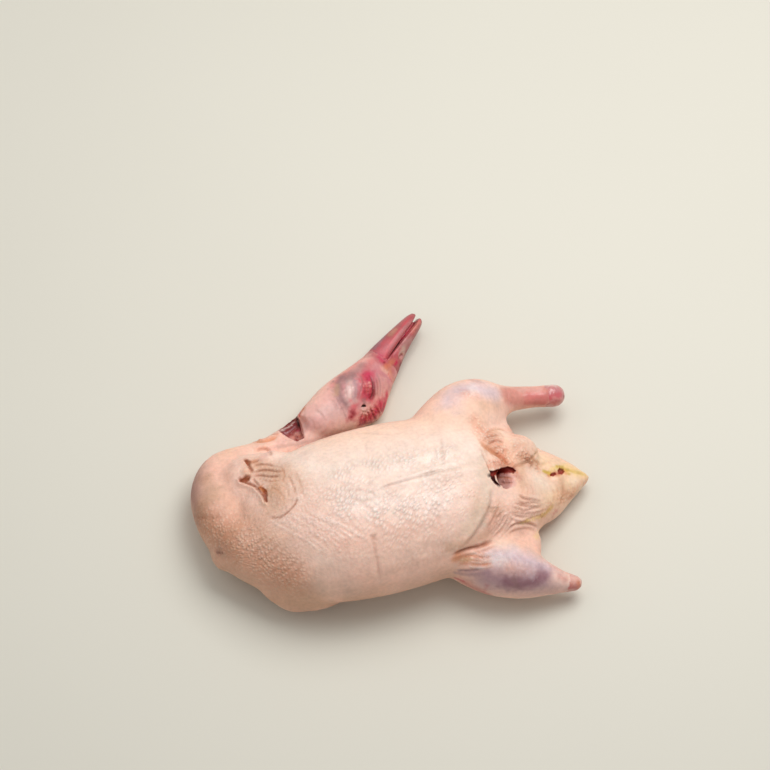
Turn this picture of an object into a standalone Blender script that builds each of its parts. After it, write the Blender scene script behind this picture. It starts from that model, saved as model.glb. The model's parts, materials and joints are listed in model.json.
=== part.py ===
"""A dressed Pekin duck, plucked and drawn, lying on its back with its neck folded round to its left.

The breast faces +Z, the tail points along +X and the bird's left side is +Y. The origin is on the floor,
under the keel at mid breast. Stations are written in millimetres and scaled by MM.
"""

import math

import bmesh
import bpy
from mathutils import Matrix, Vector

# Units, and the gap that touching pieces keep.
MM = 0.001
GAP = 0.3

# Driving dimensions of the carcass, in millimetres.
TORSO_FRONT = -158.0
TORSO_LENGTH = 293.0
BREAST_HALF_WIDTH = 81.0
BREAST_DRIFT = 2.5
BREAST_DEPTH = 100.0
TAIL_BASE = 118.0
TAIL_LENGTH = 68.0
TAIL_HALF_WIDTH = 42.0

# Driving dimensions of the head and bill, in millimetres and degrees.
HEAD_AT = Vector((14.5, 135.4, 18.5))
HEAD_YAW = 39.0
HEAD_PITCH = 3.0
HEAD_ROLL = 26.0
BILL_BASE = 27.0
BILL_DROP = 4.0
BILL_LENGTH = 60.7
BILL_HALF_WIDTH = 11.72
GAPE_ANGLE = 5.0
EYE_RADIUS = 7.6
EYE_AT = (-3.3, 11.0, -4.0)
EAR_AT = (-21.5, 17.5, 3.6)

# How finely the flesh is made.
RING_POINTS = 24
STEPS_PER_SPAN = 3
CAP_STEPS = 3
FLESH_VOXEL = 2.0
FLESH_SMOOTHING = 14
FLESH_TRIANGLES = 7900
WING_TRIANGLES = 300

# The torso from front to back: share of the length, then share of the breast's half width, then the heights
# of the top, the underside and the widest level as shares of the breast's depth.
TORSO = (
    (0.000, 0.20, 0.47, 0.24, 0.35),
    (0.040, 0.37, 0.58, 0.17, 0.36),
    (0.095, 0.56, 0.69, 0.14, 0.38),
    (0.160, 0.73, 0.80, 0.13, 0.40),
    (0.250, 0.90, 0.91, 0.13, 0.43),
    (0.370, 0.98, 0.98, 0.05, 0.45),
    (0.505, 1.00, 1.00, -0.02, 0.46),
    (0.640, 0.97, 0.99, -0.03, 0.46),
    (0.760, 0.89, 0.95, -0.02, 0.43),
    (0.862, 0.75, 0.85, 0.02, 0.40),
)

# The belly behind the breast, in the same shares, which lies lower than the end of the breast.
BELLY = (
    (0.700, 0.80, 0.80, 0.00, 0.36),
    (0.800, 0.82, 0.84, 0.00, 0.36),
    (0.880, 0.78, 0.80, 0.00, 0.34),
    (0.950, 0.68, 0.69, 0.01, 0.29),
    (1.000, 0.54, 0.53, 0.02, 0.25),
)

# The tail: share of its length, share of its half width, top and underside in millimetres, and its drift in Y.
TAIL = (
    (0.00, 1.06, 62.0, 3.0, 0.0),
    (0.22, 0.99, 49.0, 1.0, 0.0),
    (0.48, 0.81, 41.0, -1.0, -0.5),
    (0.72, 0.51, 34.0, 1.0, 0.0),
    (0.88, 0.29, 28.0, 5.0, -1.3),
    (0.97, 0.14, 23.0, 9.0, -2.5),
)

# Limbs and neck: X, Y, Z of the middle line, then half width and half height.
LEG_RIGHT = (
    (46.0, -36.0, 40.0, 31.0, 30.0),
    (64.0, -53.0, 35.0, 33.0, 31.0),
    (84.0, -71.0, 31.0, 31.5, 30.0),
    (104.0, -86.5, 28.5, 24.0, 24.5),
    (122.0, -95.5, 25.0, 15.5, 17.0),
    (136.0, -100.5, 21.5, 10.2, 11.0),
    (147.0, -103.5, 19.0, 7.4, 7.6),
)
LEG_LEFT = (
    (46.0, 42.0, 46.0, 33.0, 32.0),
    (68.0, 58.0, 48.0, 34.0, 33.0),
    (92.0, 73.0, 46.0, 34.0, 32.0),
    (110.0, 81.0, 41.0, 28.0, 26.0),
    (124.0, 83.5, 37.0, 19.0, 18.5),
    (136.0, 84.5, 34.0, 12.5, 12.5),
    (152.0, 83.5, 31.0, 10.5, 10.5),
    (170.0, 81.5, 28.0, 10.0, 10.0),
    (179.0, 80.5, 26.0, 10.9, 10.6),
)
ARM_RIGHT = (
    (-118.0, -14.0, 36.0, 22.0, 20.0),
    (-118.0, -34.0, 31.0, 17.0, 18.0),
    (-110.0, -50.0, 25.0, 12.5, 14.5),
)
ARM_LEFT = (
    (-112.0, 14.0, 32.0, 20.0, 20.0),
    (-103.0, 32.0, 23.0, 15.0, 16.0),
    (-93.0, 49.0, 17.0, 12.0, 13.0),
)
FOREARM = (
    (-97.0, 43.0, 9.5, 10.0, 9.5),
    (-82.0, 36.0, 8.5, 9.5, 9.0),
    (-62.0, 27.0, 7.5, 7.5, 7.5),
)
WING_TIP = (
    (-66.0, 13.0, 6.5, 7.5, 6.5),
    (-86.0, 13.5, 5.5, 7.0, 5.5),
    (-104.0, 13.0, 4.5, 5.0, 4.5),
)
NECK = (
    (-114.0, -12.0, 42.0, 29.0, 28.0),
    (-137.0, 10.0, 37.0, 29.0, 28.0),
    (-147.0, 40.0, 31.0, 26.5, 27.0),
    (-145.0, 64.0, 27.0, 26.5, 25.0),
    (-135.0, 81.0, 23.5, 25.0, 22.0),
    (-119.0, 87.5, 20.5, 22.0, 19.5),
    (-98.0, 91.5, 18.5, 18.5, 17.5),
    (-76.0, 96.5, 18.0, 18.5, 17.0),
    (-52.0, 104.5, 18.5, 20.5, 17.5),
)

# The head along its own axis from the nape to the bill's base: distance from the eyes, how far the middle lies
# towards the throat, half height, and half width.
HEAD = (
    (-56.0, 16.0, 19.0, 17.0),
    (-33.0, 8.5, 26.0, 17.5),
    (-13.0, 2.0, 29.0, 17.5),
    (3.0, 2.0, 24.5, 17.0),
    (15.0, 2.5, 21.0, 14.5),
    (24.0, 3.0, 18.5, 12.0),
)

# The bill from base to tip: share of its length, share of its half width, height of the culmen over the rim,
# and depth of the lower mandible under the rim, in millimetres.
BILL = (
    (-0.06, 0.94, 19.5, 17.4),
    (0.10, 0.96, 17.2, 16.6),
    (0.30, 0.92, 13.2, 14.3),
    (0.55, 0.95, 9.6, 11.0),
    (0.80, 1.00, 7.2, 7.4),
    (0.93, 0.82, 5.6, 5.2),
    (1.00, 0.45, 4.0, 3.2),
)

COLOURS = {
    "skin": ((0.86, 0.66, 0.54, 1.0), 0.45),
    "bill": ((0.62, 0.22, 0.20, 1.0), 0.35),
    "joint": ((0.72, 0.25, 0.20, 1.0), 0.35),
    "eye": ((0.04, 0.03, 0.04, 1.0), 0.10),
    "tongue": ((0.65, 0.14, 0.16, 1.0), 0.30),
}


def clear_scene():
    """Removes every object that the file opened with."""
    for obj in list(bpy.data.objects):
        bpy.data.objects.remove(obj)


def material(slot):
    """The named Principled material, made once."""
    if slot in bpy.data.materials:
        return bpy.data.materials[slot]
    made = bpy.data.materials.new(slot)
    made.use_nodes = True
    shader = made.node_tree.nodes["Principled BSDF"]
    colour, roughness = COLOURS[slot]
    shader.inputs["Base Color"].default_value = colour
    shader.inputs["Roughness"].default_value = roughness
    shader.inputs["Metallic"].default_value = 0.0
    return made


def new_object(name, bm, slot="skin"):
    """An object from a bmesh in millimetres, with its normals out."""
    bm.normal_update()
    bmesh.ops.recalc_face_normals(bm, faces=bm.faces)
    bmesh.ops.scale(bm, vec=(MM, MM, MM), verts=bm.verts)
    mesh = bpy.data.meshes.new(name)
    bm.to_mesh(mesh)
    bm.free()
    mesh.materials.append(material(slot))
    obj = bpy.data.objects.new(name, mesh)
    bpy.context.scene.collection.objects.link(obj)
    return obj


def spline(rows):
    """The rows with STEPS_PER_SPAN smooth steps from each to the next."""
    found = []
    for i in range(len(rows) - 1):
        before, first = rows[max(i - 1, 0)], rows[i]
        second, after = rows[i + 1], rows[min(i + 2, len(rows) - 1)]
        for step in range(STEPS_PER_SPAN):
            t = step / STEPS_PER_SPAN
            found.append(
                tuple(
                    0.5 * (2 * b + (c - a) * t + (2 * a - 5 * b + 4 * c - d) * t**2 + (3 * b - a - 3 * c + d) * t**3)
                    for a, b, c, d in zip(before, first, second, after)
                )
            )
    found.append(tuple(rows[-1]))
    return found


def oval(power=2.0):
    """Cosine and sine round a rounded outline. A power over 2 makes it squarer."""
    for i in range(RING_POINTS):
        angle = 2 * math.pi * i / RING_POINTS
        cosine, sine = math.cos(angle), math.sin(angle)
        yield (
            math.copysign(abs(cosine) ** (2 / power), cosine),
            math.copysign(abs(sine) ** (2 / power), sine),
        )


def skin_rings(name, rings, slot="skin"):
    """A closed solid through rings of points, with a fan at each end."""
    bm = bmesh.new()
    loops = [[bm.verts.new(point) for point in ring] for ring in rings]
    for near, far in zip(loops, loops[1:]):
        for i in range(len(near)):
            j = (i + 1) % len(near)
            bm.faces.new((near[i], near[j], far[j], far[i]))
    for loop in (loops[0], loops[-1]):
        middle = bm.verts.new(sum((v.co for v in loop), Vector()) / len(loop))
        for i in range(len(loop)):
            bm.faces.new((loop[i], loop[(i + 1) % len(loop)], middle))
    return new_object(name, bm, slot)


def capped(rings, domes_out=(1.0, 1.0)):
    """The rings with a dome of CAP_STEPS smaller rings added past each end, each as far out as its share says."""
    domes = []
    for end, inner, share in ((rings[0], rings[1], domes_out[0]), (rings[-1], rings[-2], domes_out[1])):
        middle = sum(end, Vector()) / len(end)
        outward = (middle - sum(inner, Vector()) / len(inner)).normalized()
        reach = share * min((point - middle).length for point in end)
        dome = []
        for step in range(1, CAP_STEPS + 1):
            angle = math.pi / 2 * step / (CAP_STEPS + 0.5)
            push = outward * reach * math.sin(angle)
            dome.append([middle + (point - middle) * math.cos(angle) + push for point in end])
        domes.append(dome)
    return domes[0][::-1] + rings + domes[1]


def tube(name, rows, power=2.0, slot="skin"):
    """A limb through its stations, with domed ends."""
    rows = spline(rows)
    middles = [Vector(row[:3]) for row in rows]
    rings = []
    for i, (middle, row) in enumerate(zip(middles, rows)):
        ahead = middles[min(i + 1, len(rows) - 1)] - middles[max(i - 1, 0)]
        side = ahead.cross(Vector((0, 0, 1))).normalized()
        up = side.cross(ahead).normalized()
        rings.append([middle + side * row[3] * c + up * row[4] * s for c, s in oval(power)])
    return skin_rings(name, capped(rings), slot)


def mirrored(rows, sign):
    """Stations of the right side from those of the left, where sign is -1."""
    return tuple((row[0], row[1] * sign, *row[2:]) for row in rows)


def trunk(name, rows, power, domes_out):
    """A length of the torso through stations given as shares of its size."""
    rings = []
    for along, wide, top, under, level in spline(rows):
        x = TORSO_FRONT + along * TORSO_LENGTH
        level *= BREAST_DEPTH
        ring = []
        for c, s in oval(power):
            reach = top * BREAST_DEPTH - level if s > 0 else level - under * BREAST_DEPTH
            ring.append(Vector((x, BREAST_DRIFT + c * wide * BREAST_HALF_WIDTH, level + s * reach)))
        rings.append(ring)
    return skin_rings(name, capped(rings, domes_out))


def tail_solid():
    """The wedge of the tail, flat on the floor and pointed behind."""
    rings = []
    for along, wide, top, under, drift in spline(TAIL):
        x = TAIL_BASE + along * TAIL_LENGTH
        middle, half = (top + under) / 2, (top - under) / 2
        rings.append(
            [Vector((x, drift + c * wide * TAIL_HALF_WIDTH, middle + s * half)) for c, s in oval(2.1)]
        )
    return skin_rings("tail_wedge", capped(rings))


def blob(name, at, radii, turn=(0, 0, 0), level=3):
    """An ellipsoid at a point, turned about X, Y and Z in degrees."""
    bm = bmesh.new()
    bmesh.ops.create_icosphere(bm, subdivisions=level, radius=1.0)
    bmesh.ops.scale(bm, vec=radii, verts=bm.verts)
    place = Matrix.Translation(at)
    for axis, degrees in zip("ZYX", reversed(turn)):
        place = place @ Matrix.Rotation(math.radians(degrees), 4, axis)
    bm.transform(place)
    return new_object(name, bm)


def block(name, centre, size, yaw=0.0, grow=0.0):
    """A box for parting, turned about Z, and grown on every side."""
    bm = bmesh.new()
    bmesh.ops.create_cube(bm, size=1.0)
    bmesh.ops.scale(bm, vec=[side + 2 * grow for side in size], verts=bm.verts)
    bm.transform(Matrix.Translation(centre) @ Matrix.Rotation(math.radians(yaw), 4, "Z"))
    return new_object(name, bm)


def wall(name, point, outward, reach, grow=0.0):
    """A box whose near face is the parting plane through a point, on the side that outward points to."""
    outward = Vector(outward).normalized()
    bm = bmesh.new()
    bmesh.ops.create_cube(bm, size=1.0)
    bmesh.ops.scale(bm, vec=(reach, reach, reach), verts=bm.verts)
    bmesh.ops.translate(bm, vec=(0, 0, reach / 2 - grow), verts=bm.verts)
    turn = outward.to_track_quat("Z", "Y").to_matrix().to_4x4()
    bm.transform(Matrix.Translation(point) @ turn)
    return new_object(name, bm)


def apply_modifiers(obj):
    """Bakes an object's modifiers into its mesh."""
    graph = bpy.context.evaluated_depsgraph_get()
    mesh = bpy.data.meshes.new_from_object(obj.evaluated_get(graph))
    obj.modifiers.clear()
    old = obj.data
    obj.data = mesh
    bpy.data.meshes.remove(old)


def keep_largest(obj):
    """Keeps the largest closed surface of a mesh, and drops loose scraps and sealed hollows."""
    bm = bmesh.new()
    bm.from_mesh(obj.data)
    bmesh.ops.remove_doubles(bm, verts=bm.verts, dist=1e-6)
    waiting, groups = set(bm.faces), []
    while waiting:
        queue, group = [waiting.pop()], []
        while queue:
            face = queue.pop()
            group.append(face)
            for edge in face.edges:
                for other in edge.link_faces:
                    if other in waiting:
                        waiting.remove(other)
                        queue.append(other)
        groups.append(group)
    groups.sort(key=lambda group: sum(face.calc_area() for face in group))
    for group in groups[:-1]:
        bmesh.ops.delete(bm, geom=group, context="FACES")
    bmesh.ops.triangulate(bm, faces=bm.faces)
    bm.to_mesh(obj.data)
    bm.free()


def boolean(obj, other, operation, solver="EXACT"):
    """Applies one Boolean with another object, and removes that object."""
    modifier = obj.modifiers.new(operation.lower(), "BOOLEAN")
    modifier.operation = operation
    modifier.solver = solver
    modifier.object = other
    apply_modifiers(obj)
    bpy.data.objects.remove(other)
    keep_largest(obj)


def join_all(obj, others):
    """Joins closed pieces to an object with one Boolean union on a collection, and removes them."""
    group = bpy.data.collections.new(obj.name + "_pieces")
    for other in others:
        group.objects.link(other)
    modifier = obj.modifiers.new("union", "BOOLEAN")
    modifier.operation = "UNION"
    modifier.solver = "MANIFOLD"
    modifier.operand_type = "COLLECTION"
    modifier.collection = group
    apply_modifiers(obj)
    for other in others:
        bpy.data.objects.remove(other)
    bpy.data.collections.remove(group)
    keep_largest(obj)


def thin_to(obj, triangles):
    """Leaves a closed mesh about a number of triangles, most of them where it bends most."""
    keep_largest(obj)
    thin = obj.modifiers.new("thin", "DECIMATE")
    thin.ratio = min(1.0, triangles / len(obj.data.polygons))
    thin.use_collapse_triangulate = True
    apply_modifiers(obj)
    keep_largest(obj)


def melt(obj, voxel, smoothing):
    """Blends joined pieces into one smooth body."""
    remesh = obj.modifiers.new("remesh", "REMESH")
    remesh.mode = "VOXEL"
    remesh.voxel_size = voxel * MM
    smooth = obj.modifiers.new("smooth", "SMOOTH")
    smooth.factor = 0.5
    smooth.iterations = smoothing
    apply_modifiers(obj)
    keep_largest(obj)


def raise_along(obj, path, half_width, height):
    """Lifts, or with a negative height sinks, the skin in a soft band along a path."""
    points = [Vector(p) * MM for p in path]
    bm = bmesh.new()
    bm.from_mesh(obj.data)
    bm.normal_update()
    moves = {}
    for vertex in bm.verts:
        nearest = None
        for start, end in zip(points, points[1:]):
            along = end - start
            t = max(0.0, min(1.0, (vertex.co - start).dot(along) / along.length_squared))
            away = (vertex.co - start - along * t).length
            nearest = away if nearest is None else min(nearest, away)
        share = nearest / (half_width * MM)
        if share < 1.0:
            moves[vertex] = vertex.normal * height * MM * (1 - share**2) ** 2
    for vertex, move in moves.items():
        vertex.co += move
    bm.to_mesh(obj.data)
    bm.free()


def grown(obj, name, distance):
    """A copy of a closed mesh swollen by a distance."""
    copy = bpy.data.objects.new(name, obj.data.copy())
    bpy.context.scene.collection.objects.link(copy)
    swell = copy.modifiers.new("swell", "DISPLACE")
    swell.mid_level = 0.0
    swell.strength = distance * MM
    apply_modifiers(copy)
    return copy


def part_off(source, name, make_cutter, slot="skin"):
    """Parts the material inside a cutter from its source as a node of its own, with the gap left between."""
    node = bpy.data.objects.new(name, source.data.copy())
    bpy.context.scene.collection.objects.link(node)
    boolean(node, make_cutter(0.0), "INTERSECT")
    boolean(source, make_cutter(GAP), "DIFFERENCE")
    node.data.materials.clear()
    node.data.materials.append(material(slot))
    return node


def flatten_on_floor(obj):
    """Slices off what reaches below the floor, which leaves the small flats that the bird lies on."""
    boolean(obj, wall("floor", (0, 0, 0), (0, 0, -1), 900), "DIFFERENCE")


def head_frame():
    """The head's place and axes: forward to the bill, left of the head, and up to the crown, as a matrix."""
    forward = Vector((math.cos(math.radians(HEAD_YAW)), math.sin(math.radians(HEAD_YAW)), 0))
    forward.z = -math.tan(math.radians(HEAD_PITCH))
    forward.normalize()
    outward = Vector((0, 0, 1)).cross(forward).normalized()
    upward = forward.cross(outward).normalized()
    roll = math.radians(HEAD_ROLL)
    left = upward * math.cos(roll) - outward * math.sin(roll)
    crown = -outward * math.cos(roll) - upward * math.sin(roll)
    frame = Matrix((forward, left, crown)).transposed().to_4x4()
    return Matrix.Translation(HEAD_AT) @ frame


def head_point(frame, ahead, left, crown):
    """A point given in the head's own axes."""
    return frame @ Vector((ahead, left, crown))


def in_head(name, frame, radii, ahead, left, crown, level=3, slot="skin"):
    """An ellipsoid set in the head's own axes."""
    bm = bmesh.new()
    bmesh.ops.create_icosphere(bm, subdivisions=level, radius=1.0)
    bmesh.ops.scale(bm, vec=radii, verts=bm.verts)
    bmesh.ops.translate(bm, vec=(ahead, left, crown), verts=bm.verts)
    bm.transform(frame)
    return new_object(name, bm, slot)


def head_solid(frame):
    """The flesh of the head from the nape to the bill's base."""
    rings = []
    for ahead, drop, high, wide in spline(HEAD):
        rings.append([head_point(frame, ahead, c * wide, s * high - drop) for c, s in oval(2.2)])
    return skin_rings("head_flesh", capped(rings, (1.0, 0.5)))


def mandible(name, frame, upper):
    """One mandible: an arched plate with a rounded rim, wide and round at the tip."""
    swing = Matrix.Identity(4)
    if not upper:
        hinge = Matrix.Translation((BILL_BASE, 0, -BILL_DROP))
        swing = hinge @ Matrix.Rotation(math.radians(GAPE_ANGLE), 4, "Y") @ hinge.inverted()
    rings = []
    for along, wide, culmen, depth in spline(BILL):
        ahead = BILL_BASE + along * BILL_LENGTH
        half = wide * BILL_HALF_WIDTH * (1.0 if upper else 0.9)
        ring = []
        for c, s in oval(2.0):
            outer = culmen * s if upper else -depth * s
            inner = 0.9 * s if upper else -1.0 * s - 0.5
            rise = outer if s > 0 else inner
            ring.append(frame @ swing @ Vector((ahead, c * half, rise - BILL_DROP)))
        rings.append(ring)
    return skin_rings(name, rings, "bill")


def flesh_blank(frame):
    """Torso, belly, tail, legs, upper arms, neck and head, blended into one body."""
    flesh = trunk("torso", TORSO, 2.15, (1.0, 0.5))
    pieces = [
        trunk("belly", BELLY, 2.1, (1.0, 1.0)),
        tail_solid(),
        tube("right_leg_flesh", LEG_RIGHT),
        tube("left_leg_flesh", LEG_LEFT),
        tube("left_arm_flesh", ARM_LEFT),
        tube("right_arm_flesh", ARM_RIGHT),
        tube("neck_flesh", NECK),
        head_solid(frame),
        in_head("jaw", frame, (12, 6, 9), -13, 14, -10),
        blob("belly_fold", (123, 21, 49), (24, 21, 19)),
        blob("neck_web", (-113, 57, 38), (33, 34, 25)),
        blob("shoulder_web", (-95, -54, 22), (24, 11, 17)),
        blob("web_right", (104, -57, 27), (24.5, 24, 19)),
        blob("web_left", (110, 50, 31), (22, 24, 20)),
    ]
    pieces += [
        in_head(f"orbit_{side}", frame, (10.5, 9.1, 11.0), EYE_AT[0], side * EYE_AT[1], EYE_AT[2])
        for side in (1, -1)
    ]
    join_all(flesh, pieces)
    melt(flesh, FLESH_VOXEL, FLESH_SMOOTHING)
    raise_along(flesh, ((-25, 0, 100), (40, 0, 100), (92, 0, 88)), 9, 1.6)
    return flesh


def cut_openings(flesh):
    """The drawn opening, the vent and the wound in the neck."""
    boolean(flesh, blob("drawn_opening", (99, -7, 70), (22, 11, 8), (0, -30, -20)), "DIFFERENCE")
    boolean(flesh, blob("vent", (158, 3.5, 37), (11, 2.2, 8), (0, 20, -20)), "DIFFERENCE")
    wound = blob("wound", (-64, 106, 38), (16, 10, 10), (0, 0, 20))
    for shift in (-4.5, 1.5):
        ends = ((-95, 92), (-64, 105), (-30, 119))
        strand = tube("strand", [(x, y + shift, 27, 3.2, 3.2) for x, y in ends])
        boolean(wound, strand, "DIFFERENCE")
    boolean(flesh, wound, "DIFFERENCE")


def cut_sockets(flesh, frame):
    """The eye sockets, each with the slit of its closed lids, and the ear holes."""
    for side in (1, -1):
        socket = EYE_RADIUS + GAP
        ball = in_head("socket", frame, (socket, socket, socket), EYE_AT[0], side * EYE_AT[1], EYE_AT[2])
        lid = side * (EYE_AT[1] + EYE_RADIUS)
        slit = in_head("lid_slit", frame, (6.2, 4.5, 1.3), EYE_AT[0], lid, EYE_AT[2])
        boolean(ball, slit, "UNION")
        boolean(flesh, ball, "DIFFERENCE")
        ear = in_head("ear_hole", frame, (2.6, 5, 2.0), EAR_AT[0], side * EAR_AT[1], EAR_AT[2], 2)
        boolean(flesh, ear, "DIFFERENCE")


def part_flesh(flesh, frame):
    """Parts neck, head, legs, tail and upper arms from the torso, and returns the head."""
    reach = 260
    forward = frame.to_3x3() @ Vector((1, 0, 0))
    nape = head_point(frame, -38, 0, -12)
    neck = part_off(
        flesh, "neck_upper", lambda grow: block("neck_region", (-9, 171, 60), (250, 150, 160), 14.4, grow)
    )
    head = part_off(neck, "head", lambda grow: wall("nape_plane", nape, forward, reach, grow))
    part_off(flesh, "neck_lower", lambda grow: wall("root_plane", (-165, 5, 0), (-0.664, 0.747, 0), reach, grow))
    for side, sign, knee, hock, hock_way in (
        ("right", -1, (100, -80, 30), (141, -100.5, 20), (0.9, -0.4, -0.15)),
        ("left", 1, (112, 80, 41), (168, 81, 28), (1.0, -0.12, -0.15)),
    ):
        leg = part_off(
            flesh,
            f"leg_{side}_thigh",
            lambda grow: block("leg_region", (142, 117 * sign, 60), (200, 120, 160), -9 * sign, grow),
        )
        shank = part_off(
            leg,
            f"leg_{side}_drumstick",
            lambda grow: wall("knee_plane", knee, (0.86, 0.45 * sign, -0.15), reach, grow),
        )
        part_off(
            shank,
            f"leg_{side}_hock",
            lambda grow: wall("hock_plane", hock, hock_way, reach, grow),
            "joint",
        )
    for side, elbow, outward in (
        ("right", (-112, -38, 22), (-0.1, -0.85, -0.5)),
        ("left", (-97, 36, 18), (0.2, 0.8, -0.55)),
    ):
        part_off(
            flesh,
            f"wing_{side}_upper",
            lambda grow: block("arm_region", Vector(elbow) + 40 * Vector(outward), (50, 60, 60), 0, grow),
        )
    part_off(flesh, "tail", lambda grow: wall("tail_plane", (134, 0, 0), (1, 0, 0.12), reach, grow))
    return head


def wing_ends(obstacles):
    """The forearms and wing tips, folded in under the back."""
    for side, sign in (("right", -1), ("left", 1)):
        forearm = tube(f"wing_{side}_forearm", mirrored(FOREARM, sign), 2.2)
        tip = tube(f"wing_{side}_tip", mirrored(WING_TIP, sign), 2.2)
        for obj in (forearm, tip):
            thin_to(obj, WING_TRIANGLES)
            for other in obstacles:
                boolean(obj, grown(other, "clearance", GAP), "DIFFERENCE")
            flatten_on_floor(obj)
        boolean(tip, grown(forearm, "clearance", GAP), "DIFFERENCE")
        obstacles = obstacles + [forearm, tip]


def bill_and_eyes(head, frame):
    """The two mandibles, the tongue and the eyes, fitted to the head."""
    upper, lower = mandible("bill_upper", frame, True), mandible("bill_lower", frame, False)
    boolean(lower, grown(upper, "clearance", GAP), "DIFFERENCE")
    for side in (1, -1):
        nostril = in_head("nostril", frame, (4.2, 2.5, 1.7), BILL_BASE + 18, side * 8.5, 7.4 - BILL_DROP, 2)
        boolean(upper, nostril, "DIFFERENCE")
    for bill in (upper, lower):
        boolean(bill, grown(head, "clearance", GAP), "DIFFERENCE")
    tongue = in_head("tongue", frame, (17, 6.0, 1.0), BILL_BASE + 38, 0, -2.2 - BILL_DROP, 2, "tongue")
    for bill in (upper, lower):
        boolean(tongue, grown(bill, "clearance", GAP), "DIFFERENCE")
    for side, sign in (("left", 1), ("right", -1)):
        in_head(f"eye_{side}", frame, (EYE_RADIUS,) * 3, EYE_AT[0], sign * EYE_AT[1], EYE_AT[2], 3, "eye")


def shade_smooth():
    """Shades every node smooth except across its cut edges."""
    for obj in bpy.context.scene.objects:
        obj.data.shade_smooth()
        obj.data.set_sharp_from_angle(angle=math.radians(50))


def main():
    """Builds the bird."""
    clear_scene()
    frame = head_frame()
    flesh = flesh_blank(frame)
    cut_openings(flesh)
    flatten_on_floor(flesh)
    thin_to(flesh, FLESH_TRIANGLES)
    cut_sockets(flesh, frame)
    wing_ends([flesh])
    head = part_flesh(flesh, frame)
    bill_and_eyes(head, frame)
    shade_smooth()


main()
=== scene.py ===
"""A dressed pekin duck lying on its back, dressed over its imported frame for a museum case.

The skin is one sheet with no seams: it is drawn over the flesh nodes of the frame, thinned where nothing
shows, and then modelled and tinted by named creases, swellings and stains. The bill, the tongue, the eyes
and the two leg ends stay pieces of their own. Lengths are in millimetres inside the classes that model,
and in metres wherever Blender holds them.
"""

from __future__ import annotations

import json
import logging
import math
from collections.abc import Sequence
from dataclasses import dataclass, field, replace
from enum import Enum

import bmesh
import bpy
import numpy as np
from mathutils import Euler, Matrix, Vector
from mathutils.bvhtree import BVHTree

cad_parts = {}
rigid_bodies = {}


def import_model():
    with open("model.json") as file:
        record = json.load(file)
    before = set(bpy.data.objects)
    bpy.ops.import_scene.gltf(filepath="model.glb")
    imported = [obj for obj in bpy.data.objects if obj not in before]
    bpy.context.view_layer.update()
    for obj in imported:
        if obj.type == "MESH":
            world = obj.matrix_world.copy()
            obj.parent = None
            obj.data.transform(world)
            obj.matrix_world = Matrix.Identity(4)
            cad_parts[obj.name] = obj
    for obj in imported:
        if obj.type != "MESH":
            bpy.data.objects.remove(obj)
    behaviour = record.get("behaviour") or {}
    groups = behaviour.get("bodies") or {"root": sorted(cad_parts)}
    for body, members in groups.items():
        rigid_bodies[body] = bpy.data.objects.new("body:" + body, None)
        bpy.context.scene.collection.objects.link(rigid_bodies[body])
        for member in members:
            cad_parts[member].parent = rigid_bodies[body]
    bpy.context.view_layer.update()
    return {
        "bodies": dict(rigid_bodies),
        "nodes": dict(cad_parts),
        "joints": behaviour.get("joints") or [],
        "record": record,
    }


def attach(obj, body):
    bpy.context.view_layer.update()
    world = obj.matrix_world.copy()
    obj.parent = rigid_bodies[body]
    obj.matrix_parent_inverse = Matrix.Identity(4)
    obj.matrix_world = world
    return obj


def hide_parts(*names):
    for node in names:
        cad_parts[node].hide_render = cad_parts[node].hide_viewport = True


LOG = logging.getLogger("duck")
MM = 0.001
MERGE = 0.00002  # metres within which two points of a node are one


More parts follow.
